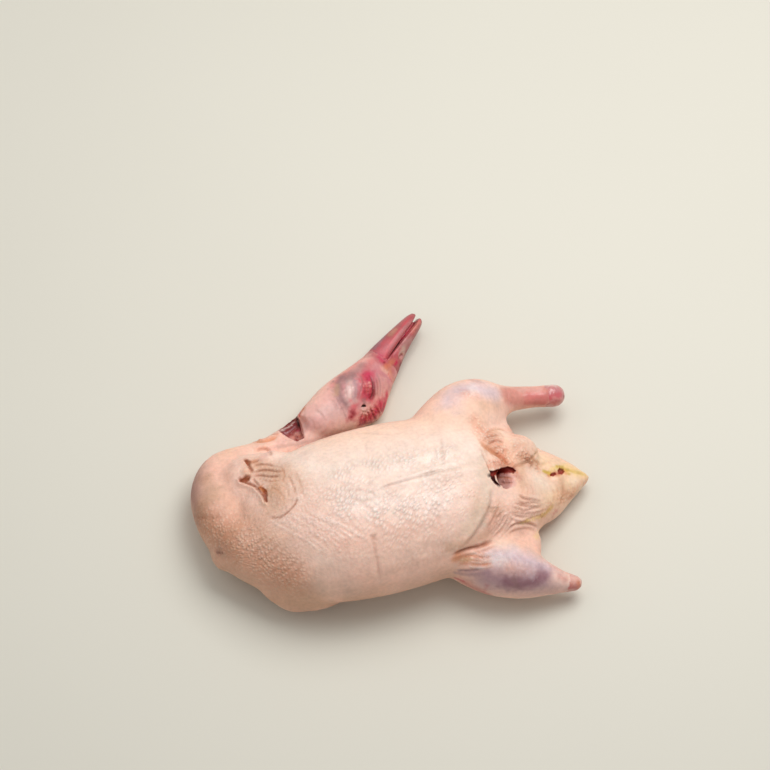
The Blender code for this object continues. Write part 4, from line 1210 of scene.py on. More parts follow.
ABDOMEN = Region(
    hollows=(
        Hollow(((488.2, 470), (493, 470.6), (498, 469), (503, 467.4), (508, 466.2), (513, 467.6),
                (517, 471), (514, 474), (507, 473.4), (500, 474.2), (495, 476), (496, 480), (500, 484.8),
                (497, 486), (492, 483.2), (488.8, 478)), 5.0, 1.4, Tone.DEEP_RED, 0.95),
    ),
    swellings=(
        Swelling((524, 449), 18, 2.9),
        Swelling((492, 447), 9, 1.2),
        Swelling((506, 479.5), 6, 0.4, 1.5, -5),
        Swelling((495, 460), 8, 1.2),
        Swelling((497, 438), 13, 1.4),
        Swelling((505, 496), 13, -1.6),
        Swelling((536, 483), 17, 1.2, 1.3, 0),
    ),
    # the brown, orange and mauve laid in these creases are painted shade in the folds, and along the breast's
    # rear edge painted shade on the abdomen's side
    creases=(
        Crease(((497.4, 486), (491.2, 481), (489.2, 474.6), (487.6, 466), (483, 456), (480.6, 447)),
               1.2, 2.2, 2.2, 3.0, Tone.CREASE_BROWN, 1.0, 0.3),
        Crease(((462, 549), (474, 535), (482, 523), (487.5, 513), (491, 503), (491.4, 494), (496.4, 486)),
               2.6, 1.8, 1.9, 4.0, Tone.MAUVE, 2.4, 0.3),
        Crease(((481, 443), (490, 450), (500.5, 457), (506.6, 463), (511, 466.6)),
               2.0, 2.3, 0.8, 2.6, Tone.WRINKLE_BROWN, 2.2, 0.85),
        Crease(((485, 435.4), (490, 431), (496.6, 429.4), (502, 429.6), (507, 431.4)),
               1.2, 1.1, 0.6, 1.8, Tone.WRINKLE_BROWN, 1.2, 0.6),
        Crease(((482.6, 441), (487.4, 437.4), (494, 435.6), (501, 436)),
               1.2, 1.0, 0.6, 1.8, Tone.CREASE_BROWN, 1.1, 0.5),
        Crease(((486.4, 446), (491.6, 442), (498.6, 440.8), (505, 443)),
               1.2, 1.1, 0.6, 1.8, Tone.CREASE_BROWN, 1.1, 0.6),
        Crease(((492, 451), (497, 447), (503, 446.6)), 1.1, 0.9, 0.5, 1.6, Tone.WRINKLE_BROWN, 1.1, 0.6),
        Crease(((500, 455), (504, 450.4), (509, 449.6)), 1.1, 0.8, 0.5, 1.6, Tone.WRINKLE_BROWN, 1.1, 0.5),
        Crease(((476, 426), (481, 429), (483.6, 434)), 1.2, 0.8, 0.5, 1.6, Tone.WRINKLE_BROWN, 1.1, 0.45),
        Crease(((472, 432), (477, 436), (479, 442)), 1.2, 0.7, 0.5, 1.6, Tone.WRINKLE_BROWN, 1.1, 0.35),
        Crease(((511, 467), (519, 465.4), (527, 462.6), (533, 457.6), (538, 450), (539, 443)),
               1.6, 1.5, 0.4, 2.0, Tone.WRINKLE_BROWN, 1.6, 0.6),
        Crease(((524, 458), (529, 462), (533, 467)), 1.1, 0.9, 0.4, 1.6, Tone.CREASE_BROWN, 1.1, 0.5),
        Crease(((528, 454), (533, 458.6), (536.6, 463.6)), 1.1, 0.9, 0.4, 1.6, Tone.WRINKLE_BROWN, 1.1, 0.6),
        Crease(((532, 449), (536.4, 453.4), (538.6, 459)), 1.1, 0.7, 0.4, 1.6, Tone.WRINKLE_BROWN, 1.1, 0.5),
        Crease(((535, 460.4), (539.4, 464.6), (543.6, 464.8), (548, 462)),
               1.4, 1.6, 1.0, 2.2, Tone.FOLD_ORANGE, 1.4, 0.8),
        Crease(((496.5, 477.8), (505, 477.6), (514.5, 479)), 0.9, 0.5, 0.2, 1.2, Tone.FOLD_ORANGE, 0.9, 0.6),
        Crease(((499.6, 482), (507, 483), (515, 481.4)), 0.9, 0.5, 0.2, 1.2, Tone.CREASE_BROWN, 0.9, 0.55),
        *ripples(
            ((517, 495), (525, 499), (535, 500), (545, 503)),
            ((508, 518), (521, 521), (533, 517.5), (546, 512)),
            7,
            Crease((), 1.3, 1.4, 1.0, 1.8, Tone.CREASE_BROWN, 1.1, 0.4),
        ),
        *ripples(
            ((521, 484), (523, 490), (521, 498)),
            ((530, 483), (532, 490), (531, 497)),
            3,
            Crease((), 1.1, 0.5, 0.0, 1.5, Tone.WRINKLE_BROWN, 1.0, 0.3),
        ),
        *ripples(
            ((498, 506), (494, 519), (486, 531)),
            ((516, 521), (506, 531), (495, 541)),
            7,
            Crease((), 1.4, 1.2, 0.9, 1.9, Tone.CREASE_BROWN, 1.1, 0.35),
        ),
        Crease(((508, 527), (516, 524), (525.3, 523), (532, 524.4), (538.2, 527.6)),
               1.4, 1.7, 1.4, 2.0, Tone.CREASE_BROWN, 1.2, 0.5),
        Crease(((506, 534), (514, 530.6), (522, 528.6), (530, 529), (538, 532.6)),
               1.3, 0.9, 0.7, 2.0, Tone.WRINKLE_BROWN, 1.2, 0.4),
        *ripples(
            ((488, 506), (493, 508), (499, 506.6)),
            ((489, 514), (496, 516), (504, 513)),
            3,
            Crease((), 1.1, 0.7, 0.3, 1.5, Tone.BROWN_BEIGE, 1.1, 0.5),
        ),
    ),
    stains=(
        # painted shade down the slope at the breast's rear edge
        Stain(((484, 462), (487, 485), (483, 506), (470, 528)), 15, Tone.REAR_EDGE_SHADE, 0.75, 0.3, 1.1),
        Stain(((500, 440), (515, 470), (515, 505)), 40, Tone.PEACH, 0.7, 0.25, 1.2),
        Stain(((492, 458), (499, 461)), 10, Tone.PINK, 0.6, 0.3),
        Stain(((500, 492), (512, 500), (503, 522), (528, 514), (540, 500)), 19, Tone.BLUSH, 0.85, 0.3, 1.1),
        Stain(((494, 420), (512, 418)), 14, Tone.BLUSH, 0.7, 0.3),
        # painted shade along the breast's rear edge
        Stain(((478, 512), (484, 524)), 8, Tone.REAR_EDGE_SHADE, 0.5, 0.4),
        Stain(((521, 448), (526, 454)), 17, Tone.BEIGE, 0.5, 0.4),
        Stain(((516, 441), (524, 440)), 7, Tone.CREAM, 0.5, 0.4),
        Stain(((486, 434), (498, 446)), 13, Tone.BLUSH, 0.5, 0.4),
        # painted shade: orange in the valley between the pebbles
        Stain(((483, 444), (492, 451), (503, 459)), 6.5, Tone.FOLD_ORANGE, 0.6, 0.6),
        Stain(((486, 452), (491, 440), (496, 432)), 6.5, Tone.BROWN_BEIGE, 0.4, 0.8),
        Stain(((500, 431), (508, 436)), 5, Tone.CREAM, 0.6, 0.5),
        Stain(((530, 460), (534, 464)), 7, Tone.BEIGE, 0.6, 0.5),
        Stain(((488, 466.6), (500, 465.4), (514, 464.6)), 5.0, Tone.TORN_ORANGE, 0.55, 0.6),
        Stain(((504, 479), (511, 480)), 7.5, Tone.FAT_PINK, 0.4, 0.3),
        Stain(((521, 459), (522, 482)), 9, Tone.BEIGE, 0.5, 0.4),
        Stain(((514, 472), (519, 477)), 5.5, Tone.SHANK_RED, 0.45, 0.5),
        Stain(((488, 508), (496, 512), (502, 509)), 7, Tone.BROWN_BEIGE, 0.35, 0.7),
        Stain(((478, 500), (470, 530), (455, 545)), 12, Tone.FLANK, 0.35, 0.4),
        Stain(((535, 478), (548, 486)), 13, Tone.PINK, 0.55, 0.4),
    ),
    cavities=(Cavity((99, -7, 70), (22, 11, 8), (0, -30, -20), Tone.MAROON),),
    inner=(
        Stain(((504, 470.6), (513, 470)), 4.2, Tone.RAW_RED, 0.75, 0.5),
        Stain(((512, 472.4), (516, 471.4)), 2.8, Tone.TORN_ORANGE, 0.6, 0.5),
        Stain(((500, 475.6), (506, 475.4), (516, 476.2)), 1.8, Tone.SHANK_RED, 0.5, 0.4),
        Stain(((491, 476), (500, 471.6), (512, 470.4)), 5.6, Tone.MAROON, 0.75, 0.2, 0.6),
        Stain(((502, 480), (508, 479), (511, 483), (505, 486)), 6.6, Tone.SINEW, 0.85, 0.25, 0.5),
        # painted shade: the deepest wedge of the opening is laid near black
        Stain(((490, 475.6), (494, 480), (498.6, 485)), 3.2, Tone.ALMOST_BLACK, 0.85, 0.2, 0.7),
    ),
    wet=(
        Zone(((492, 456), (500, 462)), 10, 0.8),
        Zone(((488, 434), (520, 445)), 18, 0.6),
        Zone(((503, 480), (512, 481)), 7, 0.8),
        Zone(((540, 480), (525, 505)), 20, 0.45),
        Zone(((492, 472.6), (503, 470.6), (513, 470.6)), 4.5, 0.0),
    ),
    crinkle=(
        Zone(((486, 434), (494, 443), (504, 455)), 17, 1.0),
        Zone(((512, 432), (520, 440), (514, 460)), 12, 0.45),
        Zone(((474, 420), (480, 432)), 10, 0.6),
        Zone(((490, 462), (506, 462)), 5, 0.9),
        Zone(((525, 456), (532, 462), (537, 467)), 8, 0.9),
        Zone(((495, 520), (530, 505)), 22, 0.3),
        Zone(((506, 480), (512, 481)), 6, 0.7),
    ),
    pores=(Zone(((515, 445), (525, 455)), 14, 0.45), Zone(((489, 503), (503, 515)), 12, 0.6)),
)

TAIL = Region(
    hollows=(
        Hollow(((549.4, 474.4), (552, 472.4), (555.6, 472), (556.8, 474.2), (553.6, 476.8), (550.4, 476.2)),
               2.6, 1.0, Tone.MAROON, 0.85),
        Hollow(((557.2, 470.4), (559.4, 467.4), (563.8, 468.8), (565.2, 471.4), (562.4, 474.8), (558.4, 474)),
               3.4, 1.0, Tone.MAROON, 0.85),
    ),
    swellings=(
        Swelling((556, 479.6), 5, 0.9, 1.6, -10),
        Swelling((552, 467), 6, 0.8, 1.6, 10),
        Swelling((572, 466), 10, 0.6),
    ),
    creases=(
        Crease(((558, 466.4), (566, 469.4), (577, 472.6), (587, 475)),
               1.2, 1.0, 0.5, 1.8, Tone.VENT_GREEN, 1.4, 0.6),
        Crease(((541, 470.5), (545, 471.6), (550, 473.2)), 1.0, 0.7, 0.3, 1.5, Tone.VENT_GREEN, 1.6, 0.55),
        *ripples(
            ((565, 480), (567, 489), (564, 499)),
            ((582, 480), (581, 487), (576, 494)),
            5,
            Crease((), 1.3, -0.6, 0.0, 2.0, Tone.TAIL_CREAM, 1.2, 0.6),
        ),
        # painted shade: brown laid in the two sets of wrinkles that follow
        *ripples(
            ((552, 488), (556, 495), (553, 502)),
            ((563, 484), (563, 494), (560, 503)),
            3,
            Crease((), 1.2, 0.5, 0.0, 1.8, Tone.WRINKLE_BROWN, 1.1, 0.35),
        ),
        *ripples(
            ((561, 497), (566, 494), (572, 496)),
            ((556, 505), (562, 502.5), (568, 503.5)),
            3,
            Crease((), 1.1, 0.5, 0.0, 1.6, Tone.WRINKLE_BROWN, 1.0, 0.4),
        ),
    ),
    stains=(
        Stain(((545, 462), (575, 478), (552, 498)), 34, Tone.TAIL_CREAM, 0.9, 0.2, 1.2),
        Stain(((536, 478), (545, 484)), 15, Tone.CREAM, 0.75, 0.3),
        Stain(((562, 480), (563, 490)), 8, Tone.BEIGE, 0.7, 0.4),
        Stain(((560, 490), (572, 494)), 10, Tone.BEIGE, 0.4, 0.5),
        Stain(((574, 482), (580, 488)), 7, Tone.CREAM, 0.5, 0.4),
        Stain(((552, 470), (558, 468), (564, 471)), 4.5, Tone.TAIL_YELLOW, 0.8, 0.3),
        Stain(((549, 475), (556, 474), (566, 471.6)), 5.0, Tone.AMBER, 0.7, 0.3),
        Stain(((551, 475), (556, 474), (563, 472)), 3.4, Tone.SHANK_RED, 0.75, 0.3),
        Stain(((556, 504), (545, 512), (540, 520)), 10, Tone.BEIGE, 0.5, 0.4),
        Stain(((566, 467), (585, 475)), 7.5, Tone.TAIL_YELLOW, 0.7, 0.4),
        Stain(((544, 471.6), (550, 473.4)), 3.6, Tone.VENT_GREEN, 0.9, 0.3),
        Stain(((557, 466.4), (562, 466.8)), 3.0, Tone.VENT_GREEN, 0.85, 0.3),
        Stain(((567, 471), (569, 474)), 2.8, Tone.VENT_GREEN, 0.6, 0.3),
        Stain(((586, 484), (580, 494), (574, 500)), 4.5, Tone.TORN_ORANGE, 0.5, 0.5),
        Stain(((522, 522), (530, 520.5), (537, 517.8), (543, 515), (548, 511), (551, 507.5)),
              3.6, Tone.VENT_GREEN, 0.6, 0.6),
        Stain(((540.6, 515.2), (542, 517)), 2.6, Tone.CREASE_BROWN, 0.6, 0.5),
        Stain(((553.7, 513.6), (556, 511)), 4.0, Tone.LID_RED, 0.5, 0.5),
        Stain(((541, 529), (536, 537)), 5, Tone.TAIL_YELLOW, 0.5, 0.5),
    ),
    wet=(
        Zone(((540, 478), (570, 466)), 16, 0.5),
        Zone(((551, 474), (557, 473.4), (563, 471)), 3.5, 0.05),
        Zone(((566, 494), (570, 490)), 8, 0.6),
    ),
    crinkle=(Zone(((562, 498), (572, 492)), 11, 0.6), Zone(((550, 505), (545, 512)), 9, 0.4)),
)

LEGS = Region(
    # the brown and orange laid along the leg fold are painted shade, and the near white on the raised ripples
    # is a painted highlight
    creases=(
        Crease(((494, 540.5), (486, 544), (478.8, 546.8), (468, 549.4), (458.4, 552.8), (452, 555.4)),
               1.9, 3.2, 1.1, 3.0, Tone.CREASE_BROWN, 1.8, 0.85),
        Crease(((497, 546), (484, 551), (470, 556), (462, 558)),
               1.6, 0.7, 0.6, 2.4, Tone.FOLD_ORANGE, 1.4, 0.35),
        Crease(((455, 570), (468, 570.6), (482, 569)), 1.4, 1.1, 0.5, 2.0, Tone.PURPLE_GREY, 1.6, 0.75),
        *ripples(
            ((470, 552), (482, 555), (495, 555)),
            ((466, 566), (480, 567), (494, 565)),
            4,
            Crease((), 1.2, -0.6, 0.0, 1.8, Tone.PAINTED_GLINT, 1.1, 0.4),
        ),
        *ripples(
            ((504, 556), (510, 561), (512, 568)),
            ((524, 556), (530, 563), (531, 571)),
            4,
            Crease((), 1.2, 0.4, 0.0, 1.8, Tone.PURPLE_GREY, 1.1, 0.25),
        ),
        *ripples(
            ((466, 386), (470, 391), (472, 398)),
            ((476, 384), (479, 390), (480, 397)),
            4,
            Crease((), 1.2, -0.5, 0.0, 1.8, Tone.PAINTED_GLINT, 1.1, 0.4),
        ),
        Crease(((508.5, 386), (508, 397), (508.5, 410)), 1.2, 0.7, 0.8, 1.8, Tone.SHANK, 1.2, 0.35),
    ),
    stains=(
        Stain(((500, 532), (520, 545), (536, 545)), 32, Tone.PINK, 0.9, 0.2, 1.2),
        Stain(((500, 545), (512, 548)), 14, Tone.CREAM, 0.5, 0.4),
        Stain(((486, 582), (520, 584), (558, 580)), 32, Tone.DUSK, 0.85, 0.2, 1.2),
        Stain(((488, 560), (508, 556), (526, 560), (545, 568)), 16, Tone.LAVENDER, 0.9, 0.25, 1.1),
        # painted highlight on the near thigh
        Stain(((494, 560), (506, 559)), 8, Tone.PAINTED_GLINT, 0.35, 0.5),
        Stain(((528, 550), (545, 560)), 10, Tone.HEAD_PALE, 0.45, 0.5),
        Stain(((488, 576), (508, 581), (530, 580), (550, 577)), 15, Tone.PURPLE_GREY, 0.8, 0.3, 1.1),
        Stain(((506, 582), (520, 585), (534, 581), (542, 575)), 10.5, Tone.PLUM, 0.7, 0.5),
        Stain(((514, 579), (516, 584)), 5, Tone.DARK_MAUVE, 0.7, 0.6),
        Stain(((528, 572), (533, 577)), 4.5, Tone.LAVENDER, 0.4, 0.7),
        Stain(((457, 558), (474, 560), (486, 563)), 9, Tone.FOLD_ORANGE, 0.75, 0.5),
        # painted highlight: a bright glint on the orange-tan patch
        Stain(((462, 560), (470, 560)), 3.6, Tone.TAIL_CREAM, 0.6, 0.7),
        Stain(((456, 573), (472, 574.6), (488, 572)), 4.5, Tone.PURPLE_GREY, 0.6, 0.4),
        Stain(((463, 582), (474, 588), (487, 594)), 9, Tone.SHANK, 0.8, 0.4),
        Stain(((455, 578), (463, 581)), 2.8, Tone.CRIMSON, 0.55, 0.4),
        Stain(((484, 592), (487, 586)), 4, Tone.SHANK_RED, 0.4, 0.5),
        Stain(((556, 578), (576, 583)), 11, Tone.BLUSH, 0.7, 0.3),
        Stain(((560, 576), (566, 580)), 5, Tone.SHANK, 0.5, 0.4),
        Stain(((570, 588), (578, 587)), 4.5, Tone.SHANK_RED, 0.7, 0.4),
        # painted light: a thin pale rim along the near thigh's lower edge
        Stain(((492, 596), (520, 598.4), (548, 595)), 2.6, Tone.CREAM, 0.55, 0.4),
        # painted shade on the body just above the leg fold
        Stain(((448, 548), (470, 542), (488, 534)), 9, Tone.BROWN_BEIGE, 0.5, 0.5),
        Stain(((415, 415), (440, 398)), 22, Tone.PINK, 0.6, 0.3, 1.1),
        Stain(((450, 398), (466, 388), (492, 392)), 21, Tone.LAVENDER, 0.85, 0.3, 1.1),
        Stain(((448, 384), (466, 379), (480, 382)), 7, Tone.PURPLE_GREY, 0.4, 0.5),
        Stain(((455, 396), (474, 394)), 8, Tone.PINK, 0.4, 0.6),
        Stain(((484, 404), (496, 408)), 10, Tone.BEIGE, 0.45, 0.4),
        Stain(((499, 385), (506, 388)), 8, Tone.HEAD_PALE, 0.5, 0.4),
        Stain(((511, 396), (544, 396)), 17, Tone.SHANK, 0.9, 0.2, 0.7),
        Stain(((530, 396), (546, 397)), 9, Tone.ROSE, 0.5, 0.3),
        Stain(((520, 390), (540, 389)), 5.5, Tone.SINEW, 0.6, 0.4),
        Stain(((526, 403), (544, 403)), 4.6, Tone.SHANK_RED, 0.55, 0.4),
    ),
    wet=(
        Zone(((500, 560), (530, 570)), 18, 0.75),
        Zone(((462, 562), (485, 556)), 12, 0.7),
        Zone(((455, 388), (490, 385)), 16, 0.65),
        Zone(((515, 396), (545, 395)), 14, 0.7),
    ),
    crinkle=(
        Zone(((465, 560), (485, 558)), 12, 0.3),
        Zone(((505, 565), (535, 575)), 12, 0.15),
        Zone(((464, 392), (476, 396)), 9, 0.4),
    ),
    pores=(Zone(((510, 570), (535, 580)), 16, 0.25),),
)

REGIONS: tuple[Region, ...] = (BODY, LEGS, ABDOMEN, TAIL, HEAD, NECK_ROOT)


# ----- finishes


class Value:
    """A socket of a shader, so that sums on shader values read as sums."""

    def __init__(self, finish: Finish, socket: bpy.types.NodeSocket) -> None:
        """Wrap a socket of a finish's own node tree."""
        self.finish, self.socket = finish, socket

    def _sum(self, operation: str, first: object, second: object) -> Value:
        """Add a Math node and return its result."""
        return self.finish.node("ShaderNodeMath", {"operation": operation}, {0: first, 1: second})

    def __add__(self, other: Value | float) -> Value:
        """Add."""
        return self._sum("ADD", self, other)

    def __radd__(self, other: float) -> Value:
        """Add to a number."""
        return self._sum("ADD", other, self)

    def __sub__(self, other: Value | float) -> Value:
        """Take away."""
        return self._sum("SUBTRACT", self, other)

    def __rsub__(self, other: float) -> Value:
        """Take away from a number."""
        return self._sum("SUBTRACT", other, self)

    def __mul__(self, other: Value | float) -> Value:
        """Multiply."""
        return self._sum("MULTIPLY", self, other)

    def __rmul__(self, other: float) -> Value:
        """Multiply a number."""
        return self._sum("MULTIPLY", other, self)

    def held(self) -> Value:
        """Hold it from 0 to 1."""
        return self.finish.node("ShaderNodeClamp", {}, {"Value": self})

    def between(self, low: float, high: float) -> Value:
        """Turn it into a soft step from 0 at one value to 1 at another.

        Args:
            low: The value where the step starts.
            high: The value where it ends.

        Returns:
            The step.
        """
        return self.finish.node(
            "ShaderNodeMapRange",
            {"interpolation_type": "SMOOTHSTEP"},
            {"Value": self, "From Min": low, "From Max": high},
        )


class Finish:
    """A material and the small language that its nodes are written in."""

    def __init__(self, name: str) -> None:
        """Start an empty material.

        Args:
            name: Its name.
        """
        self.material = bpy.data.materials.new(name)
        self.material.use_nodes = True
        self.tree = self.material.node_tree
        self.tree.nodes.clear()
        self.output = self.tree.nodes.new("ShaderNodeOutputMaterial")
        self.shader = self.tree.nodes.new("ShaderNodeBsdfPrincipled")
        self.tree.links.new(self.shader.outputs["BSDF"], self.output.inputs["Surface"])

    def node(self, kind: str, settings: dict, sockets: dict, result: int | str = 0) -> Value:
        """Add one node.

        Args:
            kind: The node's type.
            settings: Its own settings, set before its sockets.
            sockets: What its inputs are given, a value or another node's result.
            result: Which of its outputs is wanted.

        Returns:
            That output.
        """
        made = self.tree.nodes.new(kind)
        for name, value in settings.items():
            setattr(made, name, value)
        for name, value in sockets.items():
            self.give(made.inputs[name], value)
        return Value(self, made.outputs[result])

    def give(self, socket: bpy.types.NodeSocket, value: object) -> None:
        """Link a result to a socket, or set a number or a colour on it.

        Args:
            socket: The socket.
            value: A Value, a Tone, or a number or colour as the socket takes it.
        """
        if isinstance(value, Value):
            self.tree.links.new(value.socket, socket)
        elif isinstance(value, Tone):
            socket.default_value = (*value.linear(), 1.0)
        else:
            socket.default_value = value

    def set(self, **values: object) -> None:
        """Give the shader's sockets their values, each named as on the shader with _ for a space."""
        for name, value in values.items():
            self.give(self.shader.inputs[name.replace("_", " ")], value)

    def coordinates(self) -> Value:
        """Give the place on the piece, in metres in the bird's own frame."""
        return self.node("ShaderNodeTexCoord", {}, {}, "Object")

    def laid(self, name: str, result: str = "Fac") -> Value:
        """Read what was laid on the mesh under a name."""
        return self.node("ShaderNodeAttribute", {"attribute_name": name}, {}, result)

    def noise(self, size: float, detail: float = 3.0) -> Value:
        """Give noise with patches of a size in millimetres."""
        sockets = {"Vector": self.coordinates(), "Scale": 1 / (size * MM), "Detail": detail}
        return self.node("ShaderNodeTexNoise", {}, sockets)

    def cells(self, place: Value, size: float, randomness: float, flat: bool = False) -> Value:
        """Give the distance to the nearest of many scattered points, as a share of their gap.

        Args:
            place: The place that it is read at.
            size: The points' gap, in the measure of the place.
            randomness: How far they stray from a square grid.
            flat: Whether they lie in a plane.

        Returns:
            The distance.
        """
        return self.node(
            "ShaderNodeTexVoronoi",
            {"voronoi_dimensions": "2D" if flat else "3D", "feature": "SMOOTH_F1"},
            {"Vector": place, "Scale": 1 / size, "Randomness": randomness, "Smoothness": 0.35},
            "Distance",
        )

    def blend(self, share: Value | float, first: object, second: object, how: str = "MIX") -> Value:
        """Mix two colours by a share.

        Args:
            share: How much of the second.
            first: A colour.
            second: Another.
            how: The way they mix.

        Returns:
            The mixed colour.
        """
        mix = self.tree.nodes.new("ShaderNodeMix")
        mix.data_type, mix.blend_type = "RGBA", how
        self.give(mix.inputs["Factor"], share)
        self.give(mix.inputs[6], first)
        self.give(mix.inputs[7], second)
        return Value(self, mix.outputs[2])

    def scaled(self, colour: object, by: Value | float) -> Value:
        """Make a colour lighter or darker without changing its hue, or a vector longer or shorter."""
        return self.node("ShaderNodeVectorMath", {"operation": "SCALE"}, {0: colour, "Scale": by})

    def relief(self, height: Value, depth: float) -> Value:
        """Give the normal of a relief whose height is so many millimetres where the value is 1."""
        sockets = {"Height": height, "Distance": depth * MM, "Strength": 1.0}
        return self.node("ShaderNodeBump", {}, sockets, "Normal")

    def dress(self, obj: bpy.types.Object) -> None:
        """Put this finish on a piece in place of any it has."""
        obj.data.materials.clear()
        obj.data.materials.append(self.material)


class SkinFinish(Finish):
    """Plucked wet skin: follicles in rows, fine wrinkles, fat showing through and a film of water, with
    painted highlights on the follicles and painted shade between them and between the crinkles.
    """

    mottle_size: float = 17.0
    fine_size: float = 3.4
    patch_size: float = 14.0
    film_size: float = 9.0
    crinkle_gap: float = 3.1
    crinkle_stray: float = 1.2
    pit_gap: float = 1.9
    speck_gap: float = 11.0

    def __init__(self) -> None:
        """Build the skin's shader."""
        super().__init__("plucked_skin")
        tint = self.laid("tint", "Color")
        wet, pores, crinkle = self.laid("wet"), self.laid("pores"), self.laid("crinkle")
        mottle, fine = self.noise(self.mottle_size, 4.0), self.noise(self.fine_size)
        patches = self.noise(self.patch_size, 2.0).between(0.32, 0.56)
        dome = 1.0 - self.cells(self.laid("rows", "Vector"), 1.0, 0.78, True).between(0.05, 0.62)
        folds = 1.0 - self.cells(self._strayed(), self.crinkle_gap * MM, 0.85).between(0.12, 0.66)
        pits = self.cells(self.coordinates(), self.pit_gap * MM, 0.8).between(0.0, 0.5)
        shade = self.scaled(tint, 1.0 + (mottle - 0.5) * 0.34 + (fine - 0.5) * 0.34)
        # painted shade darkens the gaps between the follicle domes, and a painted highlight whitens their
        # tops where the skin is wet
        deep = self.blend(0.5, tint, Tone.MAUVE, "MULTIPLY")
        shade = self.blend((1.0 - dome) * pores * patches * 0.4, shade, deep)
        shade = self.blend(dome * pores * patches * (0.06 + wet * 0.4), shade, Tone.PAINTED_GLINT)
        specks = 1.0 - self.cells(self.coordinates(), self.speck_gap * MM, 1.0).between(0.025, 0.055)
        shade = self.blend(specks * 0.3, shade, Tone.CREASE_BROWN)
        # painted shade in the gaps between the crinkles
        gap = self.blend(0.85, tint, Tone.FOLD_ORANGE, "MULTIPLY")
        shade = self.blend((1.0 - folds) * crinkle * 0.62, shade, gap)
        film = wet * self.noise(self.film_size).between(0.3, 0.55)
        height = dome * pores * patches * 0.8 + folds * crinkle * 1.1 + fine * 0.2 + pits * 0.1
        self.set(
            Base_Color=shade,
            Roughness=0.56 - film * 0.30,
            Coat_Weight=film * 0.75,
            Coat_Roughness=0.18,
            Subsurface_Weight=0.2,
            Subsurface_Radius=(1.0, 0.5, 0.35),
            Subsurface_Scale=0.0025,
            Specular_IOR_Level=0.3,
            Normal=self.relief(height, 1.0),
        )

    def _strayed(self) -> Value:
        """Push the place on the piece about by noise, so that no row of crinkles stays straight.

        Returns:
            The place, in metres.
        """
        place = self.coordinates()
        push = self.node("ShaderNodeTexNoise", {}, {"Vector": place, "Scale": 1 / (7.2 * MM)}, "Color")
        centred = self.node("ShaderNodeVectorMath", {"operation": "SUBTRACT"}, {0: push, 1: (0.5, 0.5, 0.5)})
        stray = self.scaled(centred, self.crinkle_stray * MM * 2.0)
        return self.node("ShaderNodeVectorMath", {"operation": "ADD"}, {0: place, 1: stray})


class HornFinish(Finish):
    """The soft leathery horn of a duck's bill, mottled and finely pitted."""

    mottle_size: float = 7.0
    fine_size: float = 1.1
    pit_gap: float = 1.5

    def __init__(self) -> None:
        """Build the bill's shader."""
        super().__init__("bill_horn")
        tint = self.laid("tint", "Color")
        wet, pores = self.laid("wet"), self.laid("pores")
        mottle, fine = self.noise(self.mottle_size, 4.0), self.noise(self.fine_size)
        pits = self.cells(self.coordinates(), self.pit_gap * MM, 0.9).between(0.0, 0.42)
        shade = self.scaled(tint, 0.92 + (mottle - 0.5) * 0.5 + (fine - 0.5) * 0.3)
        height = fine * 0.10 + pits * pores * 0.16
        self.set(
            Base_Color=shade,
            Roughness=0.5 - wet * 0.2,
            Coat_Weight=0.08 + wet * 0.3,
            Coat_Roughness=0.2,
            Subsurface_Weight=0.15,
            Subsurface_Radius=(1.0, 0.35, 0.25),
            Subsurface_Scale=0.0015,
            Specular_IOR_Level=0.35,
            Normal=self.relief(height, 1.0),
        )


class RawFinish(Finish):
    """Raw wet flesh and gristle, as on the cut leg ends and the tongue."""

    def __init__(self, name: str, streak: float) -> None:
        """Build the shader.

        Args:
            name: The material's name.
            streak: How large its streaks are, in millimetres.
        """
        super().__init__(name)
        tint = self.laid("tint", "Color")
        mottle, fine = self.noise(streak, 5.0), self.noise(streak * 0.3, 3.0)
        shade = self.blend(mottle.between(0.42, 0.66) * 0.3, tint, Tone.SINEW)
        shade = self.blend((0.5 - fine).held() * 1.6, shade, Tone.SHANK_RED)
        self.set(
            Base_Color=shade,
            Roughness=0.22 + fine * 0.2,
            Coat_Weight=0.3 + mottle * 0.4,
            Coat_Roughness=0.1,
            Subsurface_Weight=0.2,
            Subsurface_Radius=(1.0, 0.3, 0.2),
            Subsurface_Scale=0.003,
            Normal=self.relief(mottle * 0.5 + fine * 0.3, 1.0),
        )


class EyeFinish(Finish):
    """A dark wet eyeball, of which a closed lid leaves only a line to see."""

    def __init__(self) -> None:
        """Build the eye's shader."""
        super().__init__("dark_eye")
        cloud = self.noise(2.0, 3.0)
        self.set(
            Base_Color=self.blend(cloud, Tone.ALMOST_BLACK, Tone.DEEP_RED),
            Roughness=0.08 + cloud * 0.08,
            Coat_Weight=0.6 + cloud * 0.2,
            Coat_Roughness=0.03,
            Normal=self.relief(cloud * 0.05, 1.0),
        )


class FloorFinish(Finish):
    """The plain pale floor."""

    def __init__(self) -> None:
        """Build the floor's shader."""
        super().__init__("pale_floor")
        cloud = self.noise(260.0, 2.0)
        self.set(
            Base_Color=self.blend(cloud, (0.70, 0.68, 0.60, 1.0), (0.73, 0.71, 0.63, 1.0)),
            Roughness=0.55 + cloud * 0.1,
        )


# ----- pieces from nodes


def merged_copy(frame: dict, node: str) -> bmesh.types.BMesh:
    """Copy a node of the frame, with its triangles merged and faced outwards.

    Args:
        frame: The frame, as loaded.
        node: The node's name.

    Returns:
        The copy, in metres.
    """
    copy = bmesh.new()
    copy.from_mesh(frame["nodes"][node].data)
    bmesh.ops.remove_doubles(copy, verts=copy.verts, dist=MERGE)
    bmesh.ops.recalc_face_normals(copy, faces=copy.faces)
    copy.normal_update()
    return copy


